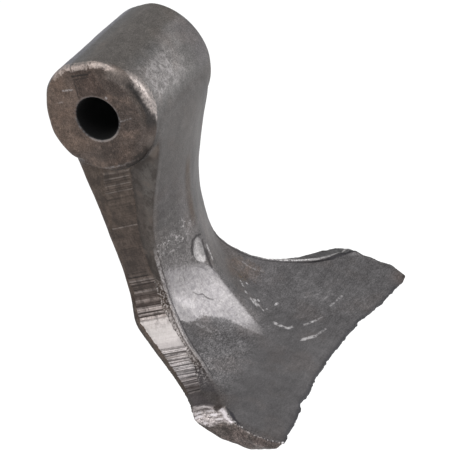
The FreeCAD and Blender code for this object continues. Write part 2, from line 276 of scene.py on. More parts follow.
# bright scraped toe of the near side (length along the outline, y)
TOE_BRIGHT = [(179.6, -10.5), (180.3, -17.2), (180.8, -20.5), (183.6, -23.5), (182.0, -24.9), (181.0, -25.7),
              (182.6, -27.4), (186.1, -29.3), (190.2, -31.5), (192.8, -33.0), (191.9, -30.6), (189.8, -28.0),
              (189.8, -26.4), (190.7, -24.4), (191.2, -20.5), (190.0, -17.5), (188.5, -14.0), (187.0, -10.5)]
toe_b = np.where((flank > 0.3) & (X < 0), inside(np.stack([arc, Y], 1), TOE_BRIGHT), -8.0)
SWIRL = [(0.7, -3.9, -63.0), (-1.7, -3.3, -65.8), (-5.8, -2.3, -67.6), (-9.0, -0.9, -70.4), (-12.1, 0.6, -73.6),
         (-16.7, 2.2, -72.4), (-20.7, 3.8, -72.0), (-23.9, 5.2, -72.6)]
swirl = smooth(6.5, 1.5, polyline_distance(P, SWIRL)) * (front > 0.25)

# ------------------------------------------------------------ displacement
d = np.zeros(n_skin)
open_skin = (1 - bore) * (1 - 0.75 * strip) * (1 - 0.5 * face)
d += open_skin * (0.17 * vnoise(P, 23, 1) + 0.10 * vnoise(P, 9.5, 2) + 0.045 * vnoise(P, 4.2, 3)
                  + 0.022 * vnoise(P, 2.0, 4))
# oval dent on the rib's crest with a raised lip on its left, and the gouge beside it
OVAL = [(-1.6, -78.0), (-4.1, -78.2), (-5.7, -79.4), (-7.1, -81.9), (-7.7, -84.7), (-7.3, -87.3), (-5.5, -89.8),
        (-3.0, -90.3), (-0.5, -87.7), (-0.5, -83.2), (-0.1, -79.7)]
oval = np.where(front > 0.3, inside(XZ, OVAL), -8.0)
d -= 0.75 * smooth(-0.4, 1.8, oval)
d += 0.35 * smooth(-1.6, -0.7, oval) * smooth(0.3, -0.4, oval) * smooth(-2.5, -5.0, X)
GOUGE = [(1.1, -1.7, -81.7), (0.4, -1.6, -87.4), (-0.2, -1.9, -90.3), (-1.2, -2.3, -93.6)]
g_d = polyline_distance(P, GOUGE)
d -= 0.55 * smooth(1.3, 0.3, g_d) * (front > 0.3)
CRACK = [(-16.7, 2.6, -98.4), (-15.7, 1.5, -100.8), (-13.5, 0.2, -101.8), (-13.1, -0.7, -104.3), (-11.5, -2.2, -106.5)]
# step at the foot of the patch: the smooth metal lies a little proud of the blade
d += 0.25 * smooth(-0.8, 0.6, patch) * smooth(-100, -106, Z)
# burr along the corner between face and side
burr_z = smooth(-84, -92, Z) * smooth(-152, -140, Z)
lump = 0.75 + 0.45 * vnoise(P, 2.6, 21)
d += burr_z * 0.30 * lump * smooth(1.5, 0.2, np.abs(fe - 0.2))
d -= burr_z * 0.18 * smooth(0.9, 0.2, np.abs(fe + 1.7))
far_top = smooth(0, 20, X) * smooth(-100, -108, Z) * smooth(-140, -132, Z)
d += far_top * 0.12 * lump * smooth(1.9, 0.3, np.abs(fe - 0.2))
# rough shorn zone in front of the strip
shorn = flank * smooth(1.3, -0.3, Y - yf) * smooth(-80, -90, Z) * smooth(-127, -121, Z)
d += shorn * (0.14 * vnoise(P, 1.9, 31) + 0.10 * vnoise(P, 3.1, 32))
# shear marks across the strip, and its ragged back edge
marks = vnoise(np.stack([arc * 1.0, Y * 0.05, np.sign(X) * 3], 1), 1.5, 41)
marks2 = vnoise(np.stack([arc * 1.0, Y * 0.04, np.sign(X) * 3], 1), 3.4, 42)
m_amp = 0.35 * smooth(54, 60, arc) * smooth(78, 70, arc) + smooth(108, 112, arc) * (
    1 - 0.85 * smooth(131, 133.5, arc) * smooth(148, 145.5, arc)) * smooth(176, 168, arc) + 0.12
d += strip * m_amp * (0.09 * marks + 0.09 * marks2)
d -= 0.22 * flank * smooth(1.2, 0.0, np.abs(Y - yb - 0.4 + rag)) * smooth(-26, -34, Z)
# mottled toe under the side
toe = smooth(188.6, 190.4, arc) * flank
d += toe * (0.16 * vnoise(P, 2.6, 51) + 0.12 * vnoise(P, 5.2, 52))
d += smooth(178, 181, arc) * smooth(189.5, 187.5, arc) * flank * 0.22 * vnoise(P, 2.4, 53)
Q = P + N * d[:, None]

# the eye: rim softer towards the front, far end a little smaller than the near
rim_w = in_eye * smooth(20, 24, eye_r)
win_front = smooth(10, 45, eye_t) * smooth(135, 105, eye_t)
far_end = smooth(4, 32, X)
near_end = smooth(-4, -30, X)
dr = 0.45 * far_end * smooth(6, 24, eye_t) * smooth(112, 90, eye_t)
dr -= 0.5 * far_end * smooth(-50, -30, eye_t) * smooth(8, -6, eye_t)
dr += 0.65 * near_end * smooth(-62, -45, eye_t) * smooth(-2, -16, eye_t)
dr += 0.8 * near_end * smooth(-133, -122, eye_t) * smooth(-80, -98, eye_t)
dr -= 1.0 * near_end * smooth(-176, -160, eye_t) * smooth(-128, -137, eye_t)
rad = np.stack([np.zeros(n_skin), Y, Z], 1) / np.maximum(eye_r, 1e-6)[:, None]
Q += rad * (rim_w * dr)[:, None]
rr = 2.6 + 2.9 * win_front * smooth(2, -8, X)
rq = np.hypot(Q[:, 1], Q[:, 2])
ax = np.abs(Q[:, 0])
roof = 33.5 - 2.3 * np.clip((np.abs(Q[:, 1]) - 5.0) / 22.9, 0, 1)
cx, cr = roof - rr, 26.9 + dr - rr
vx, vr = ax - cx, rq - cr
out_of = np.hypot(np.maximum(vx, 0), np.maximum(vr, 0))
cut = (vx > 0) & (vr > 0) & (out_of > rr) & (in_eye > 0.5) & (Z > -20)
s = np.where(cut, rr / np.maximum(out_of, 1e-6), 1.0)
nx_ = cx + vx * s
nr_ = cr + vr * s
Q[:, 0] = np.where(cut, np.sign(Q[:, 0]) * nx_, Q[:, 0])
for k in (1, 2):
    Q[:, k] = np.where(cut, Q[:, k] * nr_ / np.maximum(rq, 1e-6), Q[:, k])

# the far top corner of the blade is a little flatter, its tip a little fuller
far_corner = flank * smooth(59, 62, X) * smooth(73, 70, X)
Q += np.outer(far_corner, (0, 0.0, 0.45))
far_up = smooth(72, 76, X) * smooth(-137.5, -135, Z) * smooth(-129, -131, Z) * smooth(-21.5, -25.5, Y)
Q += np.outer(far_up, (0.0, 0, 1.2))
far_side = smooth(73, 77, X) * smooth(-133.5, -136.5, Z) * smooth(-145, -141.5, Z)
Q += np.outer(far_side, (-0.6, 0, 0.0))
tip = smooth(70, 76, X) * smooth(-143, -147, Z)
Q += np.outer(tip, (1.0, 0, 0.8))
slim = smooth(-30, -45, Z) * smooth(-116, -106, Z) * smooth(6, 15, Y)
Q += np.outer(slim, (0, -0.45, 0))
toe_low = smooth(-64, -70, X) * smooth(-146, -150, Z) * smooth(-28, -33, Y) * smooth(-49, -45, Y)
Q += np.outer(toe_low, (0, 0, -1.0))
near_toe = smooth(-64, -70, X) * smooth(-134, -137, Z) * flank
Q += np.outer(near_toe, (0, 0, 0.35))

# the cutting edge is worn uneven: it moves in the plane of the blade
EDGE = [(-76, 0.3), (-70, 0.5), (-62, 0.9), (-57, 1.5), (-52, 1.3), (-48, 0.7), (-45, -0.3), (-42, 0.1), (-39, 0.7), (-34, 0.7),
        (-24, 0.3), (-10, 0.7), (0, 0.7), (14, 0.7), (22, 1.0), (25.5, 1.0), (27, 0.1), (29.5, 0.6), (33, 1.2),
        (42, 1.9), (52, 2.3), (62, 2.1), (70, 1.6), (74, 1.0), (78, 0.4)]
ex = np.array([a for a, b in EDGE], float)
ey = np.array([b for a, b in EDGE], float)
line1 = np.stack([X, X * 0, X * 0], 1)
chip = vnoise(line1, 1.7, 61) * 0.20 + vnoise(line1, 4.3, 62) * 0.14
nick = np.clip(vnoise(line1, 2.9, 63) - 0.5, 0, 1) * -0.8
low = -(Y * 0.55 + Z * 0.835)                      # grows towards the edge
edge_top = np.interp(X, ex, ey) + chip + nick
LOWX = np.linspace(-80, 80, 81)
LOWM = np.array([np.max(np.where(np.abs(X - q) < 2.0, low, -1e9)) for q in LOWX])
below = low - np.interp(X, LOWX, LOWM)             # 0 at the edge, minus above it
near_edge = smooth(-7.0, -0.5, below) * (Z < -125)
Q += np.outer(near_edge * edge_top, (0, -0.55, -0.835))

# nothing stands outside the CAD box
Q = np.minimum(np.maximum(Q, BOX_LO + 0.01), BOX_HI - 0.01)
put(skin, Q)
P1, N1 = get(skin)

hull = bpy.data.objects.new("hammer_skin", skin)
bpy.context.scene.collection.objects.link(hull)
for p in skin.polygons:
    p.use_smooth = True
tri = sum(len(p.vertices) - 2 for p in skin.polygons)
print("skin triangles", tri, "")


# --------------------------------------------------------- zones of finish
def lin(rgb):
    c = np.array(rgb, float) / 255.0
    return np.where(c <= 0.04045, c / 12.92, ((c + 0.055) / 1.055) ** 2.4)


tone = np.zeros((n_skin, 3))
tone[:] = lin((97, 95, 96))


def over(mask, rgb):
    global tone
    m = np.clip(mask, 0, 1)[:, None]
    tone = tone * (1 - m) + m * lin(rgb)[None, :]


# blade and neck
over(front * smooth(-112, -92, Z), (98, 95, 95))
over(front * smooth(-52, -34, Z), (91, 88, 87))
over(front * smooth(-126, -140, Z) * smooth(30, 0, X), (94, 92, 93))
over(front * smooth(-112, -120, Z) * smooth(-133, -126, Z) * smooth(-10, -30, X), (110, 108, 109))
over(front * smooth(4.5, 0.5, np.abs(X - 0.5)) * smooth(-36, -44, Z) * smooth(-74, -66, Z) * (0.75 + 0.25 * vnoise(P, 3.5, 74)), (84, 74, 67))
over(back, (98, 94, 92))
over(back * smooth(-0.2, 0.6, vnoise(P, 17, 71)) * 0.5, (86, 78, 72))
# painted shade: the right of the neck's face is darker, where it turns away from the light
over(front * smooth(13, 22, X) * smooth(-84, -70, Z), (77, 75, 75))
over(front * smooth(17, 21, X) * smooth(27, 24, X) * smooth(-76, -66, Z) * 0.5, (100, 98, 99))
# painted shade: darker right of the neck's crest, where the face turns away from the light
over(front * smooth(2, 7, X) * smooth(20, 15, X) * smooth(-34, -42, Z) * smooth(-74, -66, Z) * 0.6, (79, 77, 77))
over(front * smooth(-8, -12, X) * smooth(-48, -56, Z) * smooth(-82, -74, Z) * 0.5, (83, 81, 80))
over(front * smooth(-96, -110, Z) * smooth(0.1, 0.8, vnoise(P, 12, 83)) * 0.5, (107, 105, 106))
over(front * smooth(-96, -110, Z) * smooth(-0.1, -0.8, vnoise(P, 12, 83)) * 0.5, (84, 82, 83))
# painted shade: darker in the hollow right of the rib, where the slope faces away from the light
over(front * smooth(1.5, 6.0, X) * smooth(24, 10, X) * smooth(-80, -92, Z) * smooth(-118, -106, Z) * 0.55, (84, 80, 79))
# painted highlight: a soft light streak beside the neck's corner
over(front * smooth(-3.4, -2.4, fe) * smooth(-0.4, -1.6, fe) * smooth(-24, -32, Z) * smooth(-84, -72, Z) * 0.35,
     (112, 108, 106))
# barrel
over(barrel, (98, 96, 95))
over(barrel * smooth(58, 40, eye_t) * smooth(2, 10, eye_t), (97, 93, 90))
# painted reflection: a lighter bluish band along the barrel's upper back, where it catches the bright backdrop
over(barrel * smooth(1.0, 4.0, Y) * smooth(0, 8, Z), (116, 116, 121))
# painted sheen: lighter zones on the front of the barrel, where it faces the lamps
bx = smooth(-30, -17, X) * smooth(18, 3, X)
bt = smooth(52, 70, eye_t) * smooth(104, 86, eye_t)
over(barrel * bx * bt, (122, 119, 118))
over(barrel * smooth(-2, 8, X) * smooth(30, 26, X) * smooth(44, 54, eye_t) * smooth(76, 66, eye_t), (119, 116, 115))
over(barrel * smooth(98, 112, eye_t) * smooth(170, 150, eye_t), (90, 87, 86))
over(barrel * smooth(12, 24, X) * smooth(44, 60, eye_t) * smooth(110, 95, eye_t) * 0.8, (102, 99, 100))
over(barrel * (Y > 5) * smooth(24, 14, Z), (94, 90, 88))
# eye ends
over(face, (80, 69, 63))
over(face * smooth(-6, -13, Y), (67, 59, 55))
over(face * smooth(4, 12, Y), (87, 74, 66))
over(face * smooth(-10, -17, Z), (74, 65, 60))
cloud = vnoise(P, 5.5, 81) + 0.7 * vnoise(P, 2.6, 82)
over(face * smooth(0.15, 0.9, cloud) * 0.5, (102, 88, 80))
over(face * smooth(-0.15, -0.9, cloud) * 0.55, (60, 52, 48))
over(face * smooth(-10.5, -8.5, Y + 0.25 * (14 - Z)) * smooth(3.6, 2.4, Y - 0.15 * (19 - Z)) * smooth(9.0, 10.5, Z) * 0.75,
     (60, 50, 46))
over(face * smooth(-6.6, -5.0, Y) * smooth(5.4, 3.6, Y) * smooth(-10.5, -12.0, Z) * 0.6, (58, 50, 46))
# painted shade: the rounded rim at the front of the near end is darker, darkest in a band just inside the crescent
# highlight
rim_round_shade = in_eye * (1 - bore) * smooth(-27.6, -28.6, X) * smooth(20.2, 22.8, eye_r)
over(rim_round_shade * smooth(30, 40, eye_t) * smooth(124, 110, eye_t), (90, 83, 79))
over(rim_round_shade * smooth(56, 70, eye_t) * smooth(124, 110, eye_t), (70, 63, 59))
over(rim_round_shade * smooth(22.4, 24.3, eye_r + 0.7 * cloud) * smooth(50, 68, eye_t) * smooth(128, 114, eye_t), (55, 52, 51))
over(rim_round_shade * smooth(108, 122, eye_t) * smooth(170, 150, eye_t), (78, 70, 66))
rim = in_eye * smooth(27.5, 29.3, AX) * (1 - face) * smooth(22, 24.5, eye_r)
over(rim * smooth(-60, -75, eye_t), (80, 70, 64))
# painted shade: the inside of the bore is painted near black
over(bore * smooth(11.0, 10.5, eye_r), (10, 10, 11))
# sides
over(flank, (71, 62, 56))
over(flank * smooth(0.0, 1.0, yf - Y) * smooth(-24, -30, Z) * smooth(-92, -84, Z), (68, 63, 60))
over(flank * smooth(3.4, 7.0, yf - Y) * smooth(-24, -32, Z) * smooth(-92, -84, Z), (80, 76, 73))
over(flank * smooth(1.1, 0.4, np.abs(yf - Y - 0.9)) * smooth(-28, -32, Z) * smooth(-92, -84, Z) * 0.6, (48, 44, 42))
over(flank * smooth(-0.5, 2.5, Y - yb) * smooth(-90, -98, Z), (72, 66, 62))
# partly painted reflection: the shorn zone is lighter where the side bends up towards the light
over(shorn * smooth(-96, -102, Z) * smooth(-122, -114, Z), (128, 122, 120))
over(flank * smooth(0.5, -0.5, Y - yf) * smooth(-118, -122, Z) * smooth(-133, -129, Z), (74, 71, 72))
over(flank * smooth(50, 56, X) * smooth(-138, -134, Z), (72, 69, 69))
over(smooth(170.5, 172.5, arc) * flank * smooth(180.5, 179, arc), (77, 73, 72))
over(smooth(180.2, 181.4, arc) * flank, (80, 75, 73))
over(smooth(188.8, 190.2, arc) * flank, (80, 74, 71))
over(smooth(188.8, 191, arc) * flank * smooth(0.1, 0.6, vnoise(P, 6.5, 73)) * 0.6, (94, 84, 81))
over(flank * (X > 0) * smooth(-112, -120, Z), (80, 79, 80))
over(smooth(-0.6, 0.5, toe_b + 0.5 * vnoise(P, 2.0, 75)), (160, 153, 152))
over(front * smooth(40, 54, X) * smooth(-120, -128, Z) * 0.8, (93, 91, 92))
over(front * smooth(14, 26, X) * smooth(58, 44, X) * smooth(-106, -112, Z) * smooth(-126, -118, Z) * 0.6, (104, 101, 102))
# darkened cutting edge
over(front * smooth(-2.6, -0.6, below) * 0.7 * (Z < -125), (62, 62, 66))
over(front * smooth(62, 76, X) * smooth(-8, -2, below) * 0.5, (84, 74, 70))

# how strong the blasted grain is
grit = np.full(n_skin, 1.0)


def grit_to(mask, v):
    global grit
    m = np.clip(mask, 0, 1)
    grit = grit * (1 - m) + m * v


grit_to(front * smooth(-60, -40, Z), 0.62)
grit_to(front * smooth(-62, -74, Z), 1.25)
grit_to(front * smooth(-104, -112, Z), 1.0)
grit_to(front * smooth(0, 20, X) * smooth(-106, -114, Z), 1.0)
grit_to(front * smooth(-112, -118, Z) * smooth(-134, -127, Z) * smooth(-8, -24, X), 1.7)
grit_to(front * smooth(-126, -134, Z) * smooth(24, 4, X), 0.5)
grit_to(front * smooth(1.5, 6.0, X) * smooth(28, 12, X) * smooth(-76, -84, Z) * smooth(-118, -108, Z), 1.6)
grit_to(barrel, 1.0)
grit_to(barrel * bx * bt, 1.5)
grit_to(barrel * smooth(100, 115, eye_t), 0.7)
grit_to(face, 1.4)
grit_to(flank, 1.2)
grit_to(flank * smooth(0.0, 1.2, yf - Y) * smooth(-92, -84, Z), 0.6)
grit_to(smooth(170.5, 172.5, arc) * flank * smooth(180.5, 179, arc), 1.0)
grit_to(smooth(180, 182, arc) * flank, 2.2)


def attr(me, name, values):
    a = me.attributes.new(name, "FLOAT", "POINT")
    a.data.foreach_set("value", np.asarray(values, np.float32))


col = skin.attributes.new("tone", "FLOAT_COLOR", "POINT")
col.data.foreach_set("color", np.concatenate([tone, np.ones((n_skin, 1))], 1).astype(np.float32).ravel())
attr(skin, "grit", grit)
attr(skin, "arc", arc)
attr(skin, "strip", np.clip(strip, 0, 1))
attr(skin, "flank", np.clip(flank, 0, 1))
attr(skin, "front", np.clip(front, 0, 1))
attr(skin, "fe", np.clip(fe, -9, 9))
attr(skin, "patch", np.clip(patch, -8, 8))
attr(skin, "mottle", np.clip(mottle, -8, 8))
attr(skin, "slope_r", np.clip(slope_r, -8, 8))
attr(skin, "rust", np.clip(rust, -8, 8))
attr(skin, "oval", np.clip(oval, -8, 8))
attr(skin, "face", np.clip(face, 0, 1))
attr(skin, "bore", np.clip(bore, 0, 1))
attr(skin, "shorn", np.clip(shorn, 0, 1))
attr(skin, "toe_b", np.clip(toe_b, -8, 8))
attr(skin, "swirl", swirl)

# ------------------------------------------------------------------ material
mat = bpy.data.materials.new("forged_steel")
mat.use_nodes = True
nt = mat.node_tree
nt.nodes.clear()
L = nt.links


def node(kind, **props):
    n = nt.nodes.new(kind)
    for k, v in props.items():
        setattr(n, k, v)
    return n


def feed(sock, v):
    if isinstance(v, (int, float)):
        sock.default_value = float(v)
    elif isinstance(v, (tuple, list)):
        sock.default_value = tuple(v) if len(v) != 3 or sock.type == "VECTOR" else tuple(v) + (1.0,)
    else:
        L.new(v, sock)


def fm(op, a, b=0.0, c=0.0, clamp=False):
    n = node("ShaderNodeMath", operation=op, use_clamp=clamp)
    feed(n.inputs[0], a)
    feed(n.inputs[1], b)
    feed(n.inputs[2], c)
    return n.outputs[0]


def vm(op, a, b=(0, 0, 0)):
    n = node("ShaderNodeVectorMath", operation=op)
    feed(n.inputs[0], a)
    if op == "SCALE":
        feed(n.inputs[3], b)
    else:
        feed(n.inputs[1], b)
    return n.outputs[1] if op in ("LENGTH", "DOT_PRODUCT", "DISTANCE") else n.outputs[0]


def step(v, a, b, lo=0.0, hi=1.0):
    """Smooth step of v from a (gives lo) to b (gives hi); b may be below a."""
    if b < a:
        a, b, lo, hi = b, a, hi, lo
    n = node("ShaderNodeMapRange", interpolation_type="SMOOTHSTEP")
    feed(n.inputs[0], v)
    n.inputs[1].default_value, n.inputs[2].default_value = a, b
    n.inputs[3].default_value, n.inputs[4].default_value = lo, hi
    return n.outputs[0]


def mix(f, a, b):
    n = node("ShaderNodeMix", data_type="RGBA")
    feed(n.inputs[0], f)
    feed(n.inputs[6], a)
    feed(n.inputs[7], b)
    return n.outputs[2]


def fmix(f, a, b):
    n = node("ShaderNodeMix", data_type="FLOAT")
    feed(n.inputs[0], f)
    feed(n.inputs[2], a)
    feed(n.inputs[3], b)
    return n.outputs[0]


def noise(vec, scale, detail=2.0, rough=0.5, warp=0.0):
    n = node("ShaderNodeTexNoise")
    feed(n.inputs["Vector"], vec)
    n.inputs["Scale"].default_value = scale
    n.inputs["Detail"].default_value = detail
    n.inputs["Roughness"].default_value = rough
    n.inputs["Distortion"].default_value = warp
    return n.outputs[0]


def at(name, out=2):
    return node("ShaderNodeAttribute", attribute_name=name).outputs[out]


def xyz(x, y, z):
    n = node("ShaderNodeCombineXYZ")
    feed(n.inputs[0], x)
    feed(n.inputs[1], y)
    feed(n.inputs[2], z)
    return n.outputs[0]


def ramp(v, stops, mode="LINEAR"):
    n = node("ShaderNodeValToRGB")
    cr = n.color_ramp
    cr.interpolation = mode
    while len(cr.elements) < len(stops):
        cr.elements.new(0.5)
    for e, (p, c) in zip(cr.elements, stops):
        e.position = p
        if not isinstance(c, (tuple, list)):
            c = (c, c, c)
        e.color = tuple(c) + (1.0,)
    feed(n.inputs[0], v)
    return n.outputs[0]


pos = vm("SCALE", node("ShaderNodeTexCoord").outputs["Object"], 1000.0)     # mm
sp = node("ShaderNodeSeparateXYZ")
L.new(pos, sp.inputs[0])
px_, py_, pz_ = sp.outputs
A_arc, A_strip, A_flank, A_front = at("arc"), at("strip"), at("flank"), at("front")
A_fe, A_patch, A_mot, A_slope, A_rust = at("fe"), at("patch"), at("mottle"), at("slope_r"), at("rust")
A_oval, A_face, A_bore, A_shorn = at("oval"), at("face"), at("bore"), at("shorn")
tone_c = at("tone", 0)

n_fine = noise(pos, 2.1, 2.0, 0.6)
n_grain = noise(pos, 1.15, 3.0, 0.6)
n_mid = noise(pos, 0.26, 3.0, 0.55)
n_big = noise(pos, 0.06, 2.0, 0.5)
n_edge = noise(pos, 0.55, 3.0, 0.6)


def band(v, mid, half, soft):
    """1 within half of mid, falling to 0 over soft."""
    return step(fm("ABSOLUTE", fm("SUBTRACT", v, mid)), half + soft, half)


def sc(rgb, k=1.0):
    return tuple(float(q) * k for q in lin(rgb))


# --- 1. shot-blasted grain over everything
def ctr(n_, k):
    return fm("MULTIPLY", fm("SUBTRACT", n_, 0.5), k)


A_grit = at("grit")
n_c2 = noise(pos, 0.13, 3.0, 0.6)
drawn = vm("MULTIPLY", pos, (0.35, 1.0, 1.0))                 # grain drawn out along the scratches
n_dr = noise(drawn, 1.5, 3.0, 0.65)
on_blade = fm("MULTIPLY", step(pz_, -96.0, -108.0), A_front)
g_sum = fm("ADD", ctr(n_fine, 1.55), ctr(n_grain, 0.95))
g_sum = fm("ADD", g_sum, fm("MULTIPLY", ctr(n_dr, 1.25), fmix(on_blade, 0.25, 1.0)))
g_sum = fm("ADD", g_sum, ctr(n_mid, 0.6))
n_st = noise(vm("MULTIPLY", pos, (0.05, 0.42, 0.42)), 1.0, 3.0, 0.6)
g_sum = fm("MULTIPLY", g_sum, A_grit)
g_sum = fm("ADD", g_sum, ctr(n_c2, 0.45))
g_sum = fm("ADD", g_sum, fm("MULTIPLY", ctr(n_st, 0.6), fm("MULTIPLY", on_blade, step(px_, -20.0, 12.0, 0.35, 1.0))))
grain = fm("POWER", 2.718, g_sum)
c = vm("SCALE", tone_c, grain)
# brownish cast in slow clouds
c = mix(fm("MULTIPLY", step(n_big, 0.5, 0.68), 0.2), c, vm("SCALE", vm("MULTIPLY", c, (1.10, 0.93, 0.82)), 1.0))
# painted glints: light specks in the blasted grain, more of them on the far half of the blade
spk = noise(vm("MULTIPLY", pos, (0.6, 1.0, 1.0)), 0.95, 3.0, 0.75)
grain_glints = fm("MULTIPLY", step(spk, 0.60, 0.70), step(pz_, -60.0, -100.0, 0.25, 1.0))
grain_glints = fm("MULTIPLY", grain_glints, step(A_flank, 0.5, 0.2))
grain_glints = fm("MULTIPLY", grain_glints, fm("MULTIPLY", fm("SUBTRACT", A_grit, 0.5), 0.55), 0.0, True)
c = mix(grain_glints, c, sc((150, 147, 147)))

# --- 2. the barrel's lit streaky band: painted sheen, broken by lighter scuffs and darker streaks
th = fm("ARCTAN2", fm("MULTIPLY", py_, -1.0), pz_)             # 0 on top, pi/2 front
er = fm("SQRT", fm("ADD", fm("MULTIPLY", py_, py_), fm("MULTIPLY", pz_, pz_)))
on_eye = fm("MULTIPLY", step(er, 28.4, 27.6), step(pz_, -26.0, -24.0))
str_v = xyz(fm("MULTIPLY", px_, 0.75), fm("MULTIPLY", th, 8.0), fm("MULTIPLY", px_, 0.3))
str_n = noise(str_v, 1.0, 3.0, 0.65)
barrel_sheen_zone = fm("MULTIPLY", band(px_, -10.0, 8.0, 12.0), band(th, 1.33, 0.15, 0.32))
barrel_sheen_zone = fm("MULTIPLY", fm("MULTIPLY", barrel_sheen_zone, on_eye), step(A_face, 0.5, 0.1))
scf = noise(pos, 0.33, 4.0, 0.72, 0.6)
c = mix(fm("MULTIPLY", fm("MULTIPLY", barrel_sheen_zone, step(scf, 0.46, 0.64)), 0.75), c, sc((164, 160, 160)))
c = mix(fm("MULTIPLY", fm("MULTIPLY", barrel_sheen_zone, step(str_n, 0.55, 0.70)), 0.45), c, sc((176, 172, 172)))
c = mix(fm("MULTIPLY", fm("MULTIPLY", barrel_sheen_zone, step(scf, 0.44, 0.30)), 0.35), c, sc((94, 91, 90)))

# --- 3. sheared side: brown metal with marks across it
mk_v = xyz(fm("MULTIPLY", A_arc, 1.5), fm("MULTIPLY", py_, 0.018), fm("MULTIPLY", fm("SIGN", px_), 7.0))
mk1 = noise(mk_v, 1.0, 2.0, 0.6)
mk_v2 = xyz(fm("MULTIPLY", A_arc, 0.6), fm("MULTIPLY", py_, 0.03), fm("MULTIPLY", fm("SIGN", px_), 9.0))
mk2 = noise(mk_v2, 1.0, 2.0, 0.6)


def k01(a, a0, a1):
    return (a - a0) / (a1 - a0)


def arc_ramp(a0, a1, rows):
    f = fm("DIVIDE", fm("SUBTRACT", A_arc, a0), a1 - a0, clamp=True)
    return ramp(f, [(k01(a, a0, a1), v) for a, v in rows])


# tone of the strip along the outline (linear values)
BR = sc((76, 66, 60))
# lighter from arc 126 to 166, partly a painted reflection where the side bends up towards the light
tone_s = arc_ramp(50.0, 192.0, [
    (50, sc((78, 69, 63))), (72, sc((72, 63, 57))), (96, sc((66, 57, 52))), (111, sc((68, 60, 56))),
    (120, sc((80, 72, 68))), (125, sc((84, 76, 73))), (126.6, sc((122, 114, 111))), (131, sc((136, 128, 125))),
    (132.6, sc((160, 154, 152))), (139, sc((163, 158, 156))), (145.5, sc((160, 154, 153))), (150, sc((148, 142, 141))),
    (156, sc((144, 139, 139))), (161, sc((137, 132, 132))), (165.5, sc((120, 114, 114))), (168.5, sc((86, 80, 79))),
    (174, sc((77, 72, 72))), (179.5, sc((80, 75, 76))), (181.5, sc((150, 144, 143))), (187, sc((168, 160, 158))),
    (189.4, sc((132, 125, 122))), (190.6, sc((92, 87, 83)))])
amp = arc_ramp(50.0, 192.0, [
    (50, 0.12), (57, 0.2), (60, 0.4), (70, 0.35), (76, 0.14), (108, 0.2), (112, 0.85), (125, 1.0), (131, 0.9),
    (133, 0.07), (145.5, 0.10), (148, 1.15), (168, 1.1), (172, 0.12), (179, 0.12), (182, 0.2), (190, 0.2)])
m_fine = fm("SUBTRACT", mk1, 0.5)
m_low = fm("SUBTRACT", mk2, 0.5)
swing = fm("ADD", fm("MULTIPLY", m_fine, 6.2), fm("MULTIPLY", m_low, 1.8))
swing = fm("MULTIPLY", swing, amp)
s_mul = fm("MAXIMUM", fm("ADD", swing, 1.0), 0.18)
strip_c = vm("SCALE", tone_s, s_mul)
# drawn marks: dark and bright lines at measured places along the outline
DARK = [(60.3, 0.35, 0.5), (63.6, 0.45, 0.5), (66.9, 0.4, 0.55), (115.8, 1.2, 0.8), (121.0, 0.8, 0.75), (124.6, 1.0, 0.8),
        (128.4, 0.30, 0.75), (130.1, 0.42, 0.95), (131.7, 0.25, 0.55), (146.8, 0.45, 0.6), (149.3, 0.45, 0.9),
        (152.4, 0.4, 0.6), (155.2, 0.3, 0.45), (158.2, 0.4, 0.5), (164.9, 0.55, 0.65), (168.2, 0.9, 0.75)]
LITE = [(59.4, 0.3, 0.35), (61.9, 0.35, 0.4), (65.2, 0.3, 0.35), (68.4, 0.3, 0.35), (85.7, 0.3, 0.45), (113.0, 0.35, 0.6),
        (114.3, 0.25, 0.45), (118.6, 0.4, 0.75), (122.6, 0.3, 0.65), (123.2, 0.2, 0.4), (150.8, 0.5, 0.7),
        (153.5, 0.35, 0.5), (163.4, 0.45, 0.8), (166.3, 0.4, 0.35), (171.1, 0.28, 0.75)]
wob = fm("MULTIPLY", fm("SUBTRACT", noise(pos, 0.35, 2.0, 0.5), 0.5), 0.35)
arc_w = fm("ADD", A_arc, wob)
brk = noise(xyz(fm("MULTIPLY", A_arc, 0.9), fm("MULTIPLY", py_, 0.16), 3.0), 1.0, 2.0, 0.6)


def lines_of(rows, cut0, cut1):
    total = None
    for mid, half, s_ in rows:
        b_ = fm("MULTIPLY", band(arc_w, mid, half * 0.6, half * 0.8), s_)
        total = b_ if total is None else fm("MAXIMUM", total, b_)
    return fm("MULTIPLY", total, step(brk, cut0, cut1, 0.45, 1.0))


m_dark = lines_of(DARK, 0.38, 0.5)
m_lite = lines_of(LITE, 0.42, 0.55)
calm = fm("SUBTRACT", 1.0, fm("MULTIPLY", fm("MULTIPLY", step(A_arc, 131.5, 133.5), step(A_arc, 147.5, 145.0)), 0.65))
strip_c = vm("SCALE", strip_c, fm("POWER", 2.718, fm("MULTIPLY", fm("ADD", ctr(n_grain, 1.3), ctr(n_mid, 1.0)), calm)))
strip_c = mix(fm("MULTIPLY", m_dark, 0.85), strip_c, sc((50, 42, 39)))
strip_c = mix(fm("MULTIPLY", m_lite, 0.7), strip_c, sc((150, 141, 137)))
strip_m = step(fm("ADD", A_strip, fm("MULTIPLY", fm("SUBTRACT", n_edge, 0.5), 0.7)), 0.42, 0.58)
strip_m = fm("MULTIPLY", strip_m, step(pz_, -24.0, -27.5))
strip_m = fm("MULTIPLY", strip_m, step(A_arc, 180.8, 179.6))
# painted shade: the far side's strip is darker past arc 112 to 128, where the near side's is lit
strip_c = vm("SCALE", strip_c, fmix(step(px_, 4.0, -4.0), step(A_arc, 112.0, 128.0, 1.0, 0.55), 1.0))
c = mix(strip_m, c, strip_c)
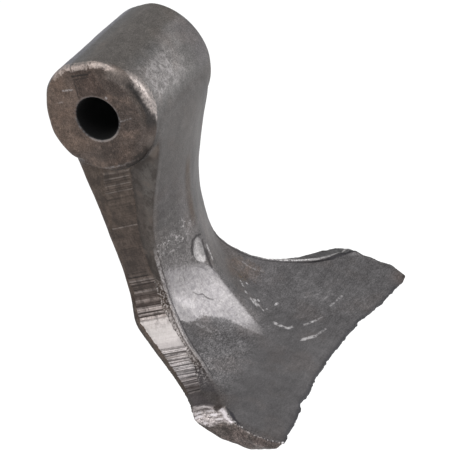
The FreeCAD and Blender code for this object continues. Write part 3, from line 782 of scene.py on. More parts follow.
# rough shorn metal in front of the strip: dark crumbs, and bright crumbs as painted glints
cr_n = noise(pos, 0.95, 3.0, 0.75)
cr_on = fm("MULTIPLY", A_shorn, step(strip_m, 0.6, 0.2))
c = mix(fm("MULTIPLY", fm("MULTIPLY", cr_on, step(cr_n, 0.50, 0.62)), 0.8), c, sc((168, 162, 160)))
c = mix(fm("MULTIPLY", fm("MULTIPLY", cr_on, step(cr_n, 0.47, 0.38)), 0.85), c, sc((46, 41, 39)))
# mask along the ragged border behind the strip
bd = fm("MULTIPLY", step(A_arc, 124.0, 128.0), step(A_arc, 176.0, 170.0))

# --- 4. the smooth slope of the rib: smoother metal, painted lighter as a highlight where it faces the lamps
fe_n = fm("MULTIPLY", fm("SUBTRACT", n_edge, 0.5), 1.6)
p_d = fm("ADD", A_patch, fe_n)
soft_top = step(pz_, -98.0, -84.0, 0.0, 1.0)                      # fades upwards
p_d = fm("ADD", p_d, ctr(n_grain, 2.2))
p_hard = step(p_d, -0.7, 0.9)
p_soft = step(fm("ADD", A_patch, fm("MULTIPLY", fm("SUBTRACT", n_grain, 0.5), 7.0)), -0.5, 4.0)
p_m = fmix(soft_top, p_hard, p_soft)
tail = step(pz_, -131.0, -121.0, 0.45, 1.0)
p_m = fm("MULTIPLY", p_m, tail)
sat_n = noise(pos, 0.5, 4.0, 0.6)
sat_c = ramp(sat_n, [(0.28, sc((118, 115, 117))), (0.5, sc((135, 132, 133))), (0.72, sc((149, 146, 146)))])
sat_c = vm("SCALE", sat_c, fm("POWER", 2.718, fm("ADD", ctr(n_grain, 0.8), ctr(n_fine, 0.6))))
# painted highlight: brighter towards the patch's lower left
patch_lowleft_highlight = fm("MULTIPLY", step(px_, -17.0, -27.0), step(pz_, -93.0, -101.0))
sat_c = vm("SCALE", sat_c, fm("ADD", fm("MULTIPLY", patch_lowleft_highlight, 0.62), 1.0))
sat_c = mix(fm("MULTIPLY", step(noise(pos, 0.16, 2.0, 0.5), 0.5, 0.7), 0.12), sat_c, sc((122, 119, 124)))
c = mix(p_m, c, sat_c)
mt_n = noise(vm("MULTIPLY", pos, (1.0, 1.0, 0.7)), 0.8, 3.0, 0.65)
mt_m = fm("MULTIPLY", step(fm("ADD", A_mot, 0.0), -1.0, 4.5), step(mt_n, 0.48, 0.62))
mt_m = fm("MULTIPLY", mt_m, step(pz_, -66.0, -92.0, 0.2, 0.9))
c = mix(fm("MULTIPLY", fm("MULTIPLY", mt_m, step(p_m, 0.9, 0.3)), 0.7), c, sc((136, 133, 132)))
sw = noise(pos, 0.20, 2.0, 0.5, 1.2)
sw2 = noise(pos, 0.27, 2.0, 0.5, 0.9)
l_a = fm("MAXIMUM", step(fm("ABSOLUTE", fm("SUBTRACT", sw, 0.47)), 0.034, 0.012), step(fm("ABSOLUTE", fm("SUBTRACT", sw, 0.57)), 0.034, 0.012))
l_b = fm("MAXIMUM", step(fm("ABSOLUTE", fm("SUBTRACT", sw2, 0.50)), 0.024, 0.008), step(fm("ABSOLUTE", fm("SUBTRACT", sw2, 0.40)), 0.024, 0.008))
sw_on = fm("MULTIPLY", step(A_mot, -2.5, 1.5), step(noise(pos, 0.45, 2.0, 0.6), 0.44, 0.60))
sw_on = fm("MULTIPLY", sw_on, fm("ADD", fm("MULTIPLY", at("swirl"), 1.0), 0.15))
c = mix(fm("MULTIPLY", fm("MULTIPLY", l_a, sw_on), 0.75), c, sc((164, 160, 160)))
sw_p = fm("MAXIMUM", sw_on, fm("MULTIPLY", p_m, step(noise(pos, 0.3, 2.0, 0.6), 0.52, 0.64)))
c = mix(fm("MULTIPLY", fm("MULTIPLY", l_b, sw_p), 0.42), c, sc((66, 63, 64)))
# mirror slope: duller and browner
r_m = fm("MULTIPLY", step(fm("ADD", A_slope, fm("MULTIPLY", fm("SUBTRACT", n_grain, 0.5), 6.0)), 0.0, 4.0), 0.25)
c = mix(r_m, c, sc((96, 90, 88)))
rs_m = step(fm("ADD", A_rust, fm("MULTIPLY", fm("SUBTRACT", n_edge, 0.5), 9.0)), -2.0, 3.0)
rs_m = fm("MULTIPLY", rs_m, step(noise(pos, 0.30, 3.0, 0.6), 0.36, 0.62, 0.55, 1.0))
c = mix(rs_m, c, vm("MULTIPLY", c, (1.03, 0.90, 0.80)))
rs_y = step(vm("LENGTH", vm("SUBTRACT", pos, (19.2, -1.0, -111.2))), 4.0, 0.5)
c = mix(fm("MULTIPLY", rs_y, step(n_edge, 0.45, 0.62, 0.0, 0.7)), c, vm("MULTIPLY", c, (1.22, 1.12, 0.74)))

# --- 5. corner line between face and side: a painted highlight along the burr on the corner, with painted shade lines either side of it, dimmer on the far side
near_side = step(px_, 4.0, -4.0)
zc = fm("MULTIPLY", step(pz_, -66.0, -80.0), step(pz_, -138.0, -131.0))
zc_l = fm("MULTIPLY", zc, fmix(near_side, step(px_, 61.0, 57.5), step(pz_, -127.0, -119.0, 0.12, 1.0)))
zc_d = fm("MULTIPLY", zc, fmix(near_side, step(px_, 61.0, 57.5), step(pz_, -128.0, -121.0)))
ln_w = fm("ADD", A_fe, fm("MULTIPLY", fm("SUBTRACT", n_edge, 0.5), 0.9))
corner_highlight = fm("MULTIPLY", band(ln_w, 0.25, 0.35, 0.5), zc_l)
l_dark1 = fm("MULTIPLY", band(ln_w, -1.1, 0.16, 0.32), zc_d)
l_dark2 = fm("MULTIPLY", fm("MULTIPLY", band(ln_w, 1.55, 0.18, 0.35), zc_d), near_side)
bead = step(noise(pos, 0.8, 2.0, 0.6), 0.36, 0.54, 0.3, 0.95)
c = mix(fm("MULTIPLY", corner_highlight, bead), c, mix(near_side, sc((232, 229, 229)), sc((150, 146, 146))))
c = mix(fm("MULTIPLY", l_dark1, 0.65), c, sc((60, 57, 58)))
c = mix(fm("MULTIPLY", l_dark2, 0.6), c, sc((58, 53, 51)))
# painted shadow under the burr on the far half
far_burr_shadow = fm("MULTIPLY", fm("MULTIPLY", band(ln_w, -1.6, 0.4, 0.6), fm("MULTIPLY", step(px_, 48.0, 58.0), step(px_, 66.0, 62.0))), zc)
c = mix(fm("MULTIPLY", far_burr_shadow, 0.85), c, sc((34, 33, 35)))

# --- 6. scratches, nicks, cracks and painted glints: straight strokes in space
WOBBLE = vm("SCALE", vm("SUBTRACT", node("ShaderNodeTexNoise").outputs[1], (0.5, 0.5, 0.5)), 0.0)
wn = node("ShaderNodeTexNoise")
L.new(pos, wn.inputs["Vector"])
wn.inputs["Scale"].default_value = 0.5
wn.inputs["Detail"].default_value = 2.0
shift = vm("SCALE", vm("SUBTRACT", wn.outputs[1], (0.5, 0.5, 0.5)), 0.9)
pos_w = vm("ADD", pos, shift)


def stroke(a, b, half, soft):
    """Mask round the straight stroke from a to b, in mm."""
    a = Vector(a)
    b = Vector(b)
    u = b - a
    ln = max(u.length, 0.01)
    u = u / ln
    rel = vm("SUBTRACT", pos_w, tuple(a))
    t = fm("MINIMUM", fm("MAXIMUM", vm("DOT_PRODUCT", rel, tuple(u)), 0.0), ln)
    q = vm("SUBTRACT", rel, vm("SCALE", xyz(u.x, u.y, u.z), t))
    return step(vm("LENGTH", q), half + soft, half * 0.6)


def strokes(rows, soft=0.35):
    total = None
    for a, b, half, s_ in rows:
        m_ = fm("MULTIPLY", stroke(a, b, half, soft), s_)
        total = m_ if total is None else fm("MAXIMUM", total, m_)
    return total


# light strokes: scratches and nicks, with a painted highlight along the lower rim of the eye's near end
BRIGHT = [
    ((-1.4, -31.4, -139.0), (5.3, -34.9, -141.4), 0.75, 0.9), ((5.3, -34.9, -141.4), (13.0, -36.6, -142.4), 0.45, 0.6),
    ((10.2, -28.5, -137.2), (16.9, -31.4, -138.9), 0.5, 0.55), ((16.9, -31.4, -138.9), (20.6, -32.7, -139.7), 0.3, 0.35),
    ((30.4, -32.9, -139.4), (40.7, -34.6, -140.1), 0.35, 0.55), ((31.6, -29.0, -136.7), (36.7, -30.0, -137.0), 0.3, 0.35),
    ((16.3, -13.9, -127.4), (18.6, -14.4, -127.7), 0.35, 0.6), ((2.1, -19.0, -129.8), (2.1, -21.3, -131.8), 0.8, 0.75),
    ((2.1, -21.3, -131.8), (2.9, -24.4, -134.2), 0.7, 0.8), ((2.9, -24.4, -134.2), (5.2, -25.2, -134.8), 0.6, 0.8),
    ((7.4, -11.6, -121.8), (6.2, -13.4, -124.2), 0.35, 0.35),
    ((6.4, -9.6, -117.6), (7.0, -10.5, -119.4), 1.2, 0.75), ((7.0, -10.5, -119.4), (7.2, -11.5, -121.4), 1.2, 0.65),
    ((11.8, -4.7, -112.6), (13.4, -3.7, -111.9), 0.9, 0.45),
    ((29.3, 1.9, -108.4), (30.2, -0.9, -112.7), 0.3, 0.35), ((30.2, -0.9, -112.7), (32.3, -4.0, -116.1), 0.45, 0.45),
    ((29.7, -22.4, -132.2), (35.2, -26.2, -134.4), 0.3, 0.25),
    ((-26.2, 0.6, -110.4), (-24.9, -1.6, -113.7), 1.0, 0.28), ((-24.9, -1.6, -113.7), (-24.6, -4.4, -117.0), 1.0, 0.24),
    ((-33.1, -10.5, -122.5), (-33.9, -12.7, -124.6), 0.8, 0.22),
    ((3.6, -1.3, -85.6), (3.2, -1.4, -89.4), 0.75, 1.0), ((3.2, -1.4, -89.4), (1.8, -2.0, -91.8), 0.6, 0.95),
    ((-32.9, 11.0, 16.2), (-33.5, 5.3, 15.6), 0.22, 0.38), ((-32.6, 17.7, 11.2), (-32.8, 14.1, 10.8), 0.2, 0.22),
    ((-33.3, -8.7, 8.6), (-33.3, -9.0, 8.3), 0.4, 0.5), ((-33.2, -10.7, -4.0), (-32.7, -16.2, -3.8), 0.2, 0.25),
    ((-33.2, 7.6, -23.7), (-33.4, -2.4, -23.9), 0.3, 0.22), ((-33.4, -2.4, -23.9), (-32.9, -11.2, -22.8), 0.3, 0.18)]
# dark strokes: cracks, the gouge and the oval dent's outline, cuts on the eye end and the toe, and a painted shadow
# line under the eye's near end
BLACK = [
    ((-16.7, 2.6, -98.4), (-15.7, 1.5, -100.8), 0.08, 0.55), ((-15.7, 1.5, -100.8), (-13.5, 0.2, -101.8), 0.10, 0.7),
    ((-13.5, 0.2, -101.8), (-13.1, -0.7, -104.3), 0.10, 0.75), ((-13.1, -0.7, -104.3), (-11.5, -2.2, -106.5), 0.12, 0.8),
    ((1.1, -1.5, -81.7), (0.5, -1.3, -87.4), 0.75, 0.8), ((0.5, -1.3, -87.4), (-0.2, -1.6, -90.3), 1.45, 0.9),
    ((-0.2, -1.6, -90.3), (-1.5, -2.2, -94.3), 0.8, 0.85), ((-3.8, -1.4, -91.2), (-1.1, -2.5, -94.5), 0.15, 0.6),
    ((1.2, -1.9, -78.5), (-2.3, -1.9, -77.1), 0.4, 0.9), ((-2.3, -1.9, -77.1), (-5.5, -1.2, -77.5), 0.4, 1.0),
    ((-5.5, -1.2, -77.5), (-7.6, -0.5, -80.0), 0.4, 1.0), ((-7.6, -0.5, -80.0), (-8.4, 0.1, -83.6), 0.35, 0.9),
    ((-14.9, 3.0, -86.5), (-16.8, 3.8, -89.1), 0.12, 0.45), ((-16.8, 3.8, -89.1), (-17.2, 3.9, -92.0), 0.12, 0.5),
    ((-12.4, 1.9, -84.9), (-9.5, 0.8, -88.9), 0.10, 0.3), ((-9.5, 0.8, -88.9), (-6.3, -0.6, -92.0), 0.12, 0.45),
    ((-6.3, -0.6, -92.0), (-4.2, -1.8, -94.5), 0.12, 0.4),
    ((-33.5, 2.9, 21.8), (-33.4, -5.3, 21.0), 0.35, 0.75), ((-33.6, 3.5, 20.1), (-33.5, -4.7, 19.7), 0.2, 0.45),
    ((-31.4, 1.5, 26.4), (-33.4, 2.8, 21.8), 0.22, 0.6), ((-33.4, 2.8, 21.8), (-33.5, 4.2, 12.0), 0.2, 0.45),
    ((-31.6, -7.8, 25.6), (-33.3, -6.3, 21.6), 0.22, 0.45), ((-33.3, -6.3, 21.6), (-33.3, -8.4, 10.0), 0.2, 0.3),
    ((-33.3, -4.9, -24.4), (-32.9, -10.5, -24.2), 0.6, 0.7), ((-32.9, -10.5, -24.2), (-30.4, -16.7, -22.4), 0.6, 0.6),
    ((-66.0, -46.5, -151.3), (-63.4, -44.5, -152.4), 0.35, 0.8)]
# bright spots right of the rib: painted glints, with a few nicks among them
SPOTS = [((14.5, -2.9, -111.3), 0.9), ((11.8, -4.7, -112.6), 1.0), ((13.0, -3.8, -112.0), 0.6), ((17.4, -3.4, -114.4), 0.8),
         ((8.3, -7.3, -114.5), 1.2), ((6.0, -9.8, -117.5), 1.1), ((8.6, -9.9, -119.5), 1.2), ((10.9, -10.0, -121.1), 0.9),
         ((5.5, -11.5, -120.5), 1.4), ((5.1, -10.8, -118.7), 1.2), ((7.4, -11.6, -121.8), 0.9), ((6.2, -13.4, -124.2), 0.6),
         ((9.4, -13.6, -125.6), 0.6), ((2.1, -19.6, -130.2), 0.9), ((2.2, -21.6, -131.9), 1.0), ((3.0, -24.4, -134.2), 1.1),
         ((4.6, -25.0, -134.7), 0.8), ((0.6, -32.6, -139.8), 1.1), ((3.4, -34.0, -140.8), 1.2), ((17.4, -14.1, -127.5), 0.8),
         ((15.0, -30.6, -138.5), 0.8)]
sp_m = None
for q, r_ in SPOTS:
    b_ = step(fm("ADD", vm("LENGTH", vm("MULTIPLY", vm("SUBTRACT", pos_w, q), (0.7, 1.0, 1.0))), ctr(n_edge, 1.4)), r_, r_ * 0.3)
    sp_m = b_ if sp_m is None else fm("MAXIMUM", sp_m, b_)
sp_m = fm("MULTIPLY", sp_m, step(noise(pos, 1.0, 3.0, 0.7), 0.38, 0.54, 0.25, 1.0))
c = mix(fm("MULTIPLY", sp_m, 0.9), c, sc((204, 202, 203)))
s_brk = step(noise(pos, 0.85, 3.0, 0.65), 0.42, 0.57, 0.08, 1.0)
c = mix(fm("MULTIPLY", strokes(BRIGHT, 0.5), s_brk), c, sc((186, 183, 184)))
c = mix(fm("MULTIPLY", strokes(BLACK, 0.30), 0.7), c, sc((44, 42, 43)))
SHADE = [((-33.4, 7.6, -24.9), (-33.3, 1.0, -26.2), 0.35, 0.45), ((-33.3, 1.0, -26.2), (-33.0, -5.0, -25.4), 0.7, 0.55),
         ((-33.0, -5.0, -25.6), (-32.4, -10.0, -24.6), 1.1, 0.8), ((-32.4, -10.0, -24.6), (-31.6, -13.6, -23.2), 1.8, 0.85),
        ((-33.2, -7.8, -23.9), (-32.9, -11.0, -22.8), 0.8, 0.6), ((-32.9, -11.0, -22.8), (-32.5, -14.9, -21.7), 1.4, 0.8),
        ((-32.5, -14.9, -21.7), (-31.8, -18.1, -19.7), 1.3, 0.75), ((-31.6, -13.6, -23.2), (-30.2, -17.0, -21.2), 1.8, 0.8), ((-30.2, -17.0, -21.2), (-30.4, -20.0, -18.6), 0.9, 0.2),
        ((-26.0, -6.4, -26.6), (-26.0, -9.2, -26.1), 1.1, 0.5), ((-26.0, -9.2, -26.1), (-26.0, -11.6, -25.7), 1.0, 0.35)]
SHADE_W = [((-33.0, -6.0, -23.4), (-32.8, -12.0, -21.8), 1.2, 0.4), ((-32.8, -12.0, -21.8), (-32.3, -16.5, -19.8), 1.4, 0.5),
           ((-32.3, -16.5, -19.8), (-32.0, -18.6, -18.0), 0.8, 0.15)]
# painted shadow in the groove under the near end of the eye; the light strokes after it are a painted highlight along
# the corner beside it
c = mix(strokes(SHADE_W, 2.6), c, sc((58, 50, 46)))
c = mix(strokes(SHADE, 1.6), c, sc((36, 33, 31)))
c = mix(strokes([((-26.0, -14.4, -24.9), (-26.1, -17.2, -22.7), 1.2, 0.5), ((-31.2, -19.0, -18.6), (-31.0, -21.4, -15.6), 0.8, 0.35)], 1.4), c, sc((112, 104, 99)))
# painted highlight along the burr on the far corner, rising to the outline, with a painted shadow under it
FAR_LINE = [(56.2, -15.9, -125.8), (58.7, -17.7, -127.0), (61.1, -19.5, -127.9), (63.9, -21.2, -128.9), (66.6, -22.5, -129.8),
            (69.2, -23.3, -130.4), (72.2, -24.2, -131.3), (76.1, -25.2, -132.6), (78.0, -26.6, -133.4)]
FAR_DARK = [(62.6, -22.0, -129.2), (65.6, -23.8, -130.4), (68.3, -25.1, -131.2), (71.7, -26.7, -132.2), (74.9, -28.2, -133.4),
            (76.4, -29.6, -134.6)]
c = mix(strokes([(a_, b_, 0.5, 0.85) for a_, b_ in zip(FAR_DARK[:-1], FAR_DARK[1:])], 0.9), c, sc((50, 49, 52)))
c = mix(fm("MULTIPLY", strokes([(a_, b_, 0.42, 1.0) for a_, b_ in zip(FAR_LINE[:-1], FAR_LINE[1:])], 0.4), bead), c, sc((168, 165, 165)))
# stains down the trimmed strip
stn = noise(vm("MULTIPLY", pos, (1.0, 1.0, 0.6)), 0.30, 4.0, 0.6)
stn_on = fm("MULTIPLY", fm("MULTIPLY", A_flank, step(pz_, -24.0, -30.0)), step(pz_, -108.0, -98.0))
c = mix(fm("MULTIPLY", fm("MULTIPLY", stn_on, step(stn, 0.50, 0.38)), 0.55), c, sc((48, 42, 39)))
c = mix(fm("MULTIPLY", fm("MULTIPLY", stn_on, step(stn, 0.54, 0.66)), 0.30), c, sc((100, 89, 82)))
# floor of the oval dent: lighter metal, with a painted shadow wedge and painted shade on its right side
ov = step(fm("ADD", A_oval, fm("MULTIPLY", fm("SUBTRACT", n_edge, 0.5), 1.2)), -0.3, 0.5)
ov = fm("MULTIPLY", ov, step(fm("ADD", px_, fm("MULTIPLY", fm("ADD", pz_, 82.0), 0.30)), 1.2, -0.6))
oval_shadow_wedge = fm("MULTIPLY", step(A_oval, -0.6, 0.4), fm("SUBTRACT", 1.0, ov))
c = mix(fm("MULTIPLY", oval_shadow_wedge, 0.6), c, sc((64, 62, 63)))
ov_c = vm("SCALE", sc((172, 169, 169)), fm("POWER", 2.718, fm("ADD", ctr(n_grain, 1.9), ctr(n_mid, 1.6))))
ov_c = vm("SCALE", ov_c, step(fm("ADD", px_, fm("MULTIPLY", ctr(n_edge, 3.0), 1.0)), -3.8, -1.2, 1.0, 0.58))
c = mix(fm("MULTIPLY", ov, 0.9), c, ov_c)

# --- 7. eye: painted highlights on the rounded rim (a crescent at the front, a broken band along the top), and the rim round the bore, lit below as a painted highlight and brown above
t_deg = fm("MULTIPLY", th, 180.0 / math.pi)
off = fm("DIVIDE", fm("SUBTRACT", t_deg, 80.0), 29.0)
half_w = fm("MULTIPLY", fm("SUBTRACT", 1.0, fm("MULTIPLY", off, off)), 2.9)
ax_ = fm("ABSOLUTE", px_)
rim_highlight_w = fm("ADD", fm("ADD", ax_, ctr(n_edge, 2.6)), ctr(n_grain, 2.0))
rim_highlight = step(fm("SUBTRACT", fm("ABSOLUTE", fm("SUBTRACT", rim_highlight_w, 27.5)), fm("MAXIMUM", half_w, -1.0)), 0.9, -0.9)
rim_highlight = fm("MULTIPLY", fm("MULTIPLY", rim_highlight, on_eye), step(er, 24.0, 25.0))
rim_highlight = fm("MULTIPLY", rim_highlight, near_side)
c = mix(fm("MULTIPLY", rim_highlight, step(noise(pos, 0.6, 3.0, 0.65), 0.36, 0.58, 0.3, 0.9)), c, vm("SCALE", sc((160, 151, 147)), fm("POWER", 2.718, ctr(n_grain, 1.2))))
top_w = fm("MULTIPLY", step(t_deg, -36.0, -24.0), step(t_deg, 46.0, 34.0))
er_w = fm("ADD", er, fm("ADD", ctr(n_edge, 2.6), band(t_deg, 4.0, 9.0, 3.0)))
top_r = fm("MULTIPLY", step(fm("ADD", ax_, ctr(n_grain, 1.6)), 29.4, 30.3), step(er_w, 24.5, 25.3))
top_n = step(noise(pos, 0.5, 3.0, 0.65), 0.38, 0.58, 0.3, 1.0)
top_c = fm("MULTIPLY", step(t_deg, -6.5, -3.8, 0.55, 1.0), band(t_deg, -4.6, 0.5, 0.8))
top_highlight = fm("MULTIPLY", fm("MULTIPLY", fm("MULTIPLY", top_w, top_r), top_n), near_side)
top_highlight = fm("MULTIPLY", top_highlight, fm("SUBTRACT", 1.0, fm("MULTIPLY", top_c, 0.8)))
c = mix(fm("MULTIPLY", top_highlight, 0.85), c, vm("SCALE", sc((162, 150, 144)), fm("POWER", 2.718, ctr(n_grain, 1.2))))
bore_rim = fm("MULTIPLY", band(er, 11.1, 0.25, 0.35), step(ax_, 32.0, 32.4))
rim_t = fm("MULTIPLY", step(fm("ABSOLUTE", t_deg), 118.0, 150.0), 1.0)
c = mix(fm("MULTIPLY", fm("MULTIPLY", bore_rim, rim_t), step(n_edge, 0.35, 0.6, 0.25, 0.75)), c, sc((124, 116, 112)))
c = mix(fm("MULTIPLY", bore_rim, step(fm("ABSOLUTE", t_deg), 100.0, 60.0, 0.0, 0.35)), c, sc((110, 94, 86)))
fs_n = noise(pos, 0.5, 3.0, 0.65)
c = mix(fm("MULTIPLY", fm("MULTIPLY", A_face, step(fs_n, 0.57, 0.70)), 0.38), c, sc((116, 101, 93)))
c = mix(fm("MULTIPLY", fm("MULTIPLY", A_face, step(fs_n, 0.45, 0.34)), 0.45), c, sc((54, 46, 42)))
FACE_CUT = [((-33.5, 2.9, 21.8), (-33.4, -5.3, 21.0), 0.32, 0.85), ((-33.6, 3.5, 20.1), (-33.5, -4.7, 19.7), 0.2, 0.5),
            ((-31.4, 1.2, 26.6), (-33.4, 2.8, 21.8), 0.25, 0.75), ((-31.6, -8.0, 25.8), (-33.3, -6.3, 21.4), 0.25, 0.65),
            ((-33.4, 3.0, 19.4), (-33.5, 4.4, 10.4), 0.2, 0.5), ((-33.3, -8.2, 19.0), (-33.3, -8.4, 10.0), 0.2, 0.35),
            ((-31.2, 0.8, 27.0), (-31.2, -8.0, 26.2), 0.22, 0.5)]
c = mix(fm("MULTIPLY", strokes(FACE_CUT, 0.35), step(n_edge, 0.32, 0.5, 0.45, 1.0)), c, sc((36, 31, 28)))
toe_m = fm("MULTIPLY", fm("MULTIPLY", step(A_arc, 180.3, 181.6), A_flank), near_side)
A_toe = at("toe_b")
toe_up = step(fm("ADD", A_toe, ctr(n_edge, 2.0)), -0.5, 0.5)
tz_v = xyz(fm("MULTIPLY", A_arc, 0.55), fm("MULTIPLY", py_, 0.13), 5.0)
tz = noise(tz_v, 1.0, 3.0, 0.65)
up_toe = toe_up
c = mix(fm("MULTIPLY", fm("MULTIPLY", up_toe, step(tz, 0.54, 0.64)), 0.8), c, sc((206, 199, 200)))
c = mix(fm("MULTIPLY", fm("MULTIPLY", up_toe, step(tz, 0.48, 0.38)), 0.8), c, sc((92, 85, 84)))
dn_toe = fm("MULTIPLY", fm("MULTIPLY", toe_m, step(A_arc, 186.0, 189.0)), fm("SUBTRACT", 1.0, toe_up))
td = noise(pos, 0.62, 4.0, 0.7)
c = mix(fm("MULTIPLY", fm("MULTIPLY", dn_toe, step(td, 0.50, 0.40)), 0.65), c, sc((54, 50, 49)))
c = mix(fm("MULTIPLY", fm("MULTIPLY", dn_toe, step(td, 0.57, 0.68)), 0.5), c, sc((120, 106, 103)))
TOE_LT = [((-74.9, -13.5, -130.6), (-73.5, -21.6, -131.3), 0.5, 0.85), ((-76.4, -13.4, -131.7), (-75.3, -23.6, -132.5), 0.6, 0.9),
          ((-78.6, -18.7, -133.9), (-76.5, -26.6, -134.3), 0.5, 0.7), ((-72.2, -25.2, -132.2), (-73.4, -27.1, -133.2), 1.0, 0.95),
          ((-73.4, -27.1, -133.2), (-75.5, -28.9, -134.8), 1.3, 0.9), ((-75.5, -28.9, -134.8), (-76.8, -30.9, -136.4), 0.8, 0.8)]
TOE_DK = [((-73.5, -14.1, -130.2), (-73.4, -19.8, -130.6), 0.25, 0.6), ((-75.4, -14.7, -131.1), (-75.5, -21.0, -131.5), 0.3, 0.8),
          ((-77.7, -16.7, -132.6), (-76.5, -24.8, -133.5), 0.3, 0.75), ((-79.0, -19.5, -134.9), (-77.6, -25.9, -134.6), 0.35, 0.7)]
c = mix(fm("MULTIPLY", fm("MULTIPLY", strokes(TOE_LT, 0.5), toe_up), step(n_edge, 0.3, 0.5, 0.5, 1.0)), c, sc((214, 208, 211)))
c = mix(fm("MULTIPLY", fm("MULTIPLY", strokes(TOE_DK, 0.35), toe_up), 0.85), c, sc((82, 75, 74)))
TOE_LN = [((-69.9, -26.7, -132.7), (-71.9, -29.0, -134.4), 0.3, 0.6), ((-71.9, -29.0, -134.4), (-75.4, -32.2, -136.9), 0.55, 0.85),
          ((-75.4, -32.2, -136.9), (-76.8, -33.9, -138.3), 0.45, 0.8)]
c = mix(strokes(TOE_LN, 0.6), c, sc((52, 51, 56)))
# painted highlight along the toe's corner, broken by dark specks
rim_toe = fm("MULTIPLY", fm("MULTIPLY", step(pz_, -131.5, -134.0), band(ln_w, 0.2, 0.35, 0.5)), near_side)
te = noise(pos, 1.0, 3.0, 0.7)
c = mix(fm("MULTIPLY", fm("MULTIPLY", rim_toe, step(te, 0.54, 0.62)), fmix(step(pz_, -145.0, -149.0), 0.55, 0.95)), c, sc((172, 169, 170)))
c = mix(fm("MULTIPLY", fm("MULTIPLY", rim_toe, step(te, 0.53, 0.45)), 0.75), c, sc((44, 42, 44)))
# painted highlights: bright beads on the toe's edge
for q, r_ in (((-76.6, -32.0, -136.8), 0.9), ((-77.4, -35.2, -139.4), 0.8), ((-77.5, -46.0, -148.4), 0.7),
              ((-74.6, -50.0, -151.4), 0.9)):
    b_ = step(vm("LENGTH", vm("SUBTRACT", pos_w, q)), r_, r_ * 0.4)
    c = mix(fm("MULTIPLY", b_, 0.8), c, sc((196, 193, 194)))
# painted shade: the inside of the bore is painted near black
in_bore = fm("MAXIMUM", step(er, 10.5, 10.3), fm("MULTIPLY", step(fm("ABSOLUTE", px_), 32.2, 31.8), step(er, 11.6, 11.1)))
c = mix(in_bore, c, (0.0016, 0.0016, 0.0018))

# roughness and bump
rough = fm("ADD", fm("MULTIPLY", n_grain, 0.16), fm("MULTIPLY", n_mid, 0.10))
rough = fm("ADD", rough, 0.42)
rough = fmix(fm("MULTIPLY", p_m, 0.8), rough, 0.40)
rough = fmix(fm("MULTIPLY", strip_m, 0.6), rough, 0.46)
rough = fmix(fm("MULTIPLY", rim_highlight, 0.9), rough, 0.34)
rough = fmix(fm("MULTIPLY", A_face, 0.7), rough, 0.60)
rough = fmix(A_bore, rough, 0.8)

h = fm("MULTIPLY", n_fine, 0.045)
h = fm("ADD", h, fm("MULTIPLY", n_grain, 0.06))
h = fm("MULTIPLY", h, fmix(p_m, 1.0, 0.35))
h = fm("ADD", h, fm("MULTIPLY", n_mid, 0.12))
h = fm("ADD", h, fm("MULTIPLY", fm("MULTIPLY", swing, strip_m), 0.05))
h = fm("ADD", h, fm("MULTIPLY", fm("MULTIPLY", m_dark, strip_m), -0.14))
h = fm("ADD", h, fm("MULTIPLY", fm("MULTIPLY", m_lite, strip_m), 0.08))
h = fm("ADD", h, fm("MULTIPLY", fm("MULTIPLY", cr_n, cr_on), 0.45))
h = fm("ADD", h, fm("MULTIPLY", l_dark1, -0.15))
h = fm("ADD", h, fm("MULTIPLY", strokes(BLACK, 0.3), -0.15))
h = fm("ADD", h, fm("MULTIPLY", fm("MULTIPLY", fs_n, A_face), 0.10))
bump = node("ShaderNodeBump")
bump.inputs["Strength"].default_value = 0.8
bump.inputs["Distance"].default_value = 0.001
L.new(h, bump.inputs["Height"])

out = node("ShaderNodeOutputMaterial")
bs = node("ShaderNodeBsdfPrincipled")
L.new(bs.outputs[0], out.inputs[0])
L.new(c, bs.inputs["Base Color"])
L.new(rough, bs.inputs["Roughness"])
L.new(bump.outputs[0], bs.inputs["Normal"])
metal = fmix(A_face, 0.80, 0.55)
metal = fmix(fm("MULTIPLY", A_flank, step(pz_, -86.0, -92.0, 1.0, 0.0)), metal, 0.55)
metal = fmix(A_bore, metal, 0.3)
L.new(metal, bs.inputs["Metallic"])
bs.inputs["Specular IOR Level"].default_value = 0.3
skin.materials.clear()
skin.materials.append(mat)

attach(hull, "root")
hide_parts("hammer")

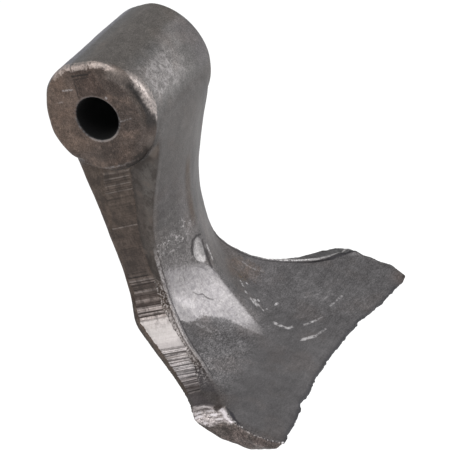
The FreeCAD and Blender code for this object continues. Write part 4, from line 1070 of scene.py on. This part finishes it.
# --------------------------------------------------------------------- stage
fmsh = bpy.data.meshes.new("floor")
S = 30.0
zf = -0.62
fmsh.from_pydata([(-S, -S, zf), (S, -S, zf), (S, S, zf), (-S, S, zf)], [], [(0, 1, 2, 3)])
floor = bpy.data.objects.new("floor", fmsh)
bpy.context.scene.collection.objects.link(floor)
fmat = bpy.data.materials.new("pale_floor")
fmat.use_nodes = True
fb = fmat.node_tree.nodes["Principled BSDF"]
fb.inputs["Base Color"].default_value = (0.93, 0.93, 0.93, 1)
fb.inputs["Roughness"].default_value = 0.9
fb.inputs["Specular IOR Level"].default_value = 0.2
fmsh.materials.append(fmat)

world = bpy.data.worlds.new("studio")
bpy.context.scene.world = world
world.use_nodes = True
wbg = world.node_tree.nodes["Background"]
wbg.inputs[0].default_value = (1, 1, 1, 1)
wbg.inputs[1].default_value = 0.62

sun_d = bpy.data.lights.new("soft_sky", "SUN")
sun_d.energy = 1.9
sun_d.angle = math.radians(35)
sun = bpy.data.objects.new("soft_sky", sun_d)
bpy.context.scene.collection.objects.link(sun)
sun.rotation_euler = (-Vector((-0.30, -0.45, 0.84)).normalized()).to_track_quat("-Z", "Y").to_euler()


def area(name, direction, distance, size, power, color=(1, 1, 1)):
    l = bpy.data.lights.new(name, "AREA")
    l.shape = "DISK"
    l.size = size
    l.energy = power
    l.color = color
    o = bpy.data.objects.new(name, l)
    bpy.context.scene.collection.objects.link(o)
    v = Vector(direction).normalized()
    ctr = Vector((0, -0.01, -0.07))
    o.location = ctr + v * distance
    o.rotation_euler = (-v).to_track_quat("-Z", "Y").to_euler()
    return o


area("front_soft", (0.10, -0.97, 0.24), 1.6, 0.9, 9)
area("rear_left", (-0.64, 0.53, 0.56), 1.6, 0.8, 9)

# -------------------------------------------------------------------- camera
cam_data = bpy.data.cameras.new("camera")
cam = bpy.data.objects.new("camera", cam_data)
bpy.context.scene.collection.objects.link(cam)
R = [(0.408517, -0.83021, -0.379295), (-0.473791, 0.162306, -0.865551), (0.780152, 0.533299, -0.327041)]
right, down, fwd = (Vector(r).normalized() for r in R)
fwd = right.cross(down).normalized()
down = fwd.cross(right).normalized()
m = Matrix((right, -down, -fwd)).transposed().to_4x4()
m.translation = Vector((-0.933893, -0.655931, 0.315226))
cam.matrix_world = m
cam_data.sensor_width = 36.0
cam_data.lens = 2613.93 / 452.0 * 36.0
cam_data.clip_start = 0.05
cam_data.clip_end = 100.0
bpy.context.scene.camera = cam
bpy.context.scene.view_settings.view_transform = "Standard"
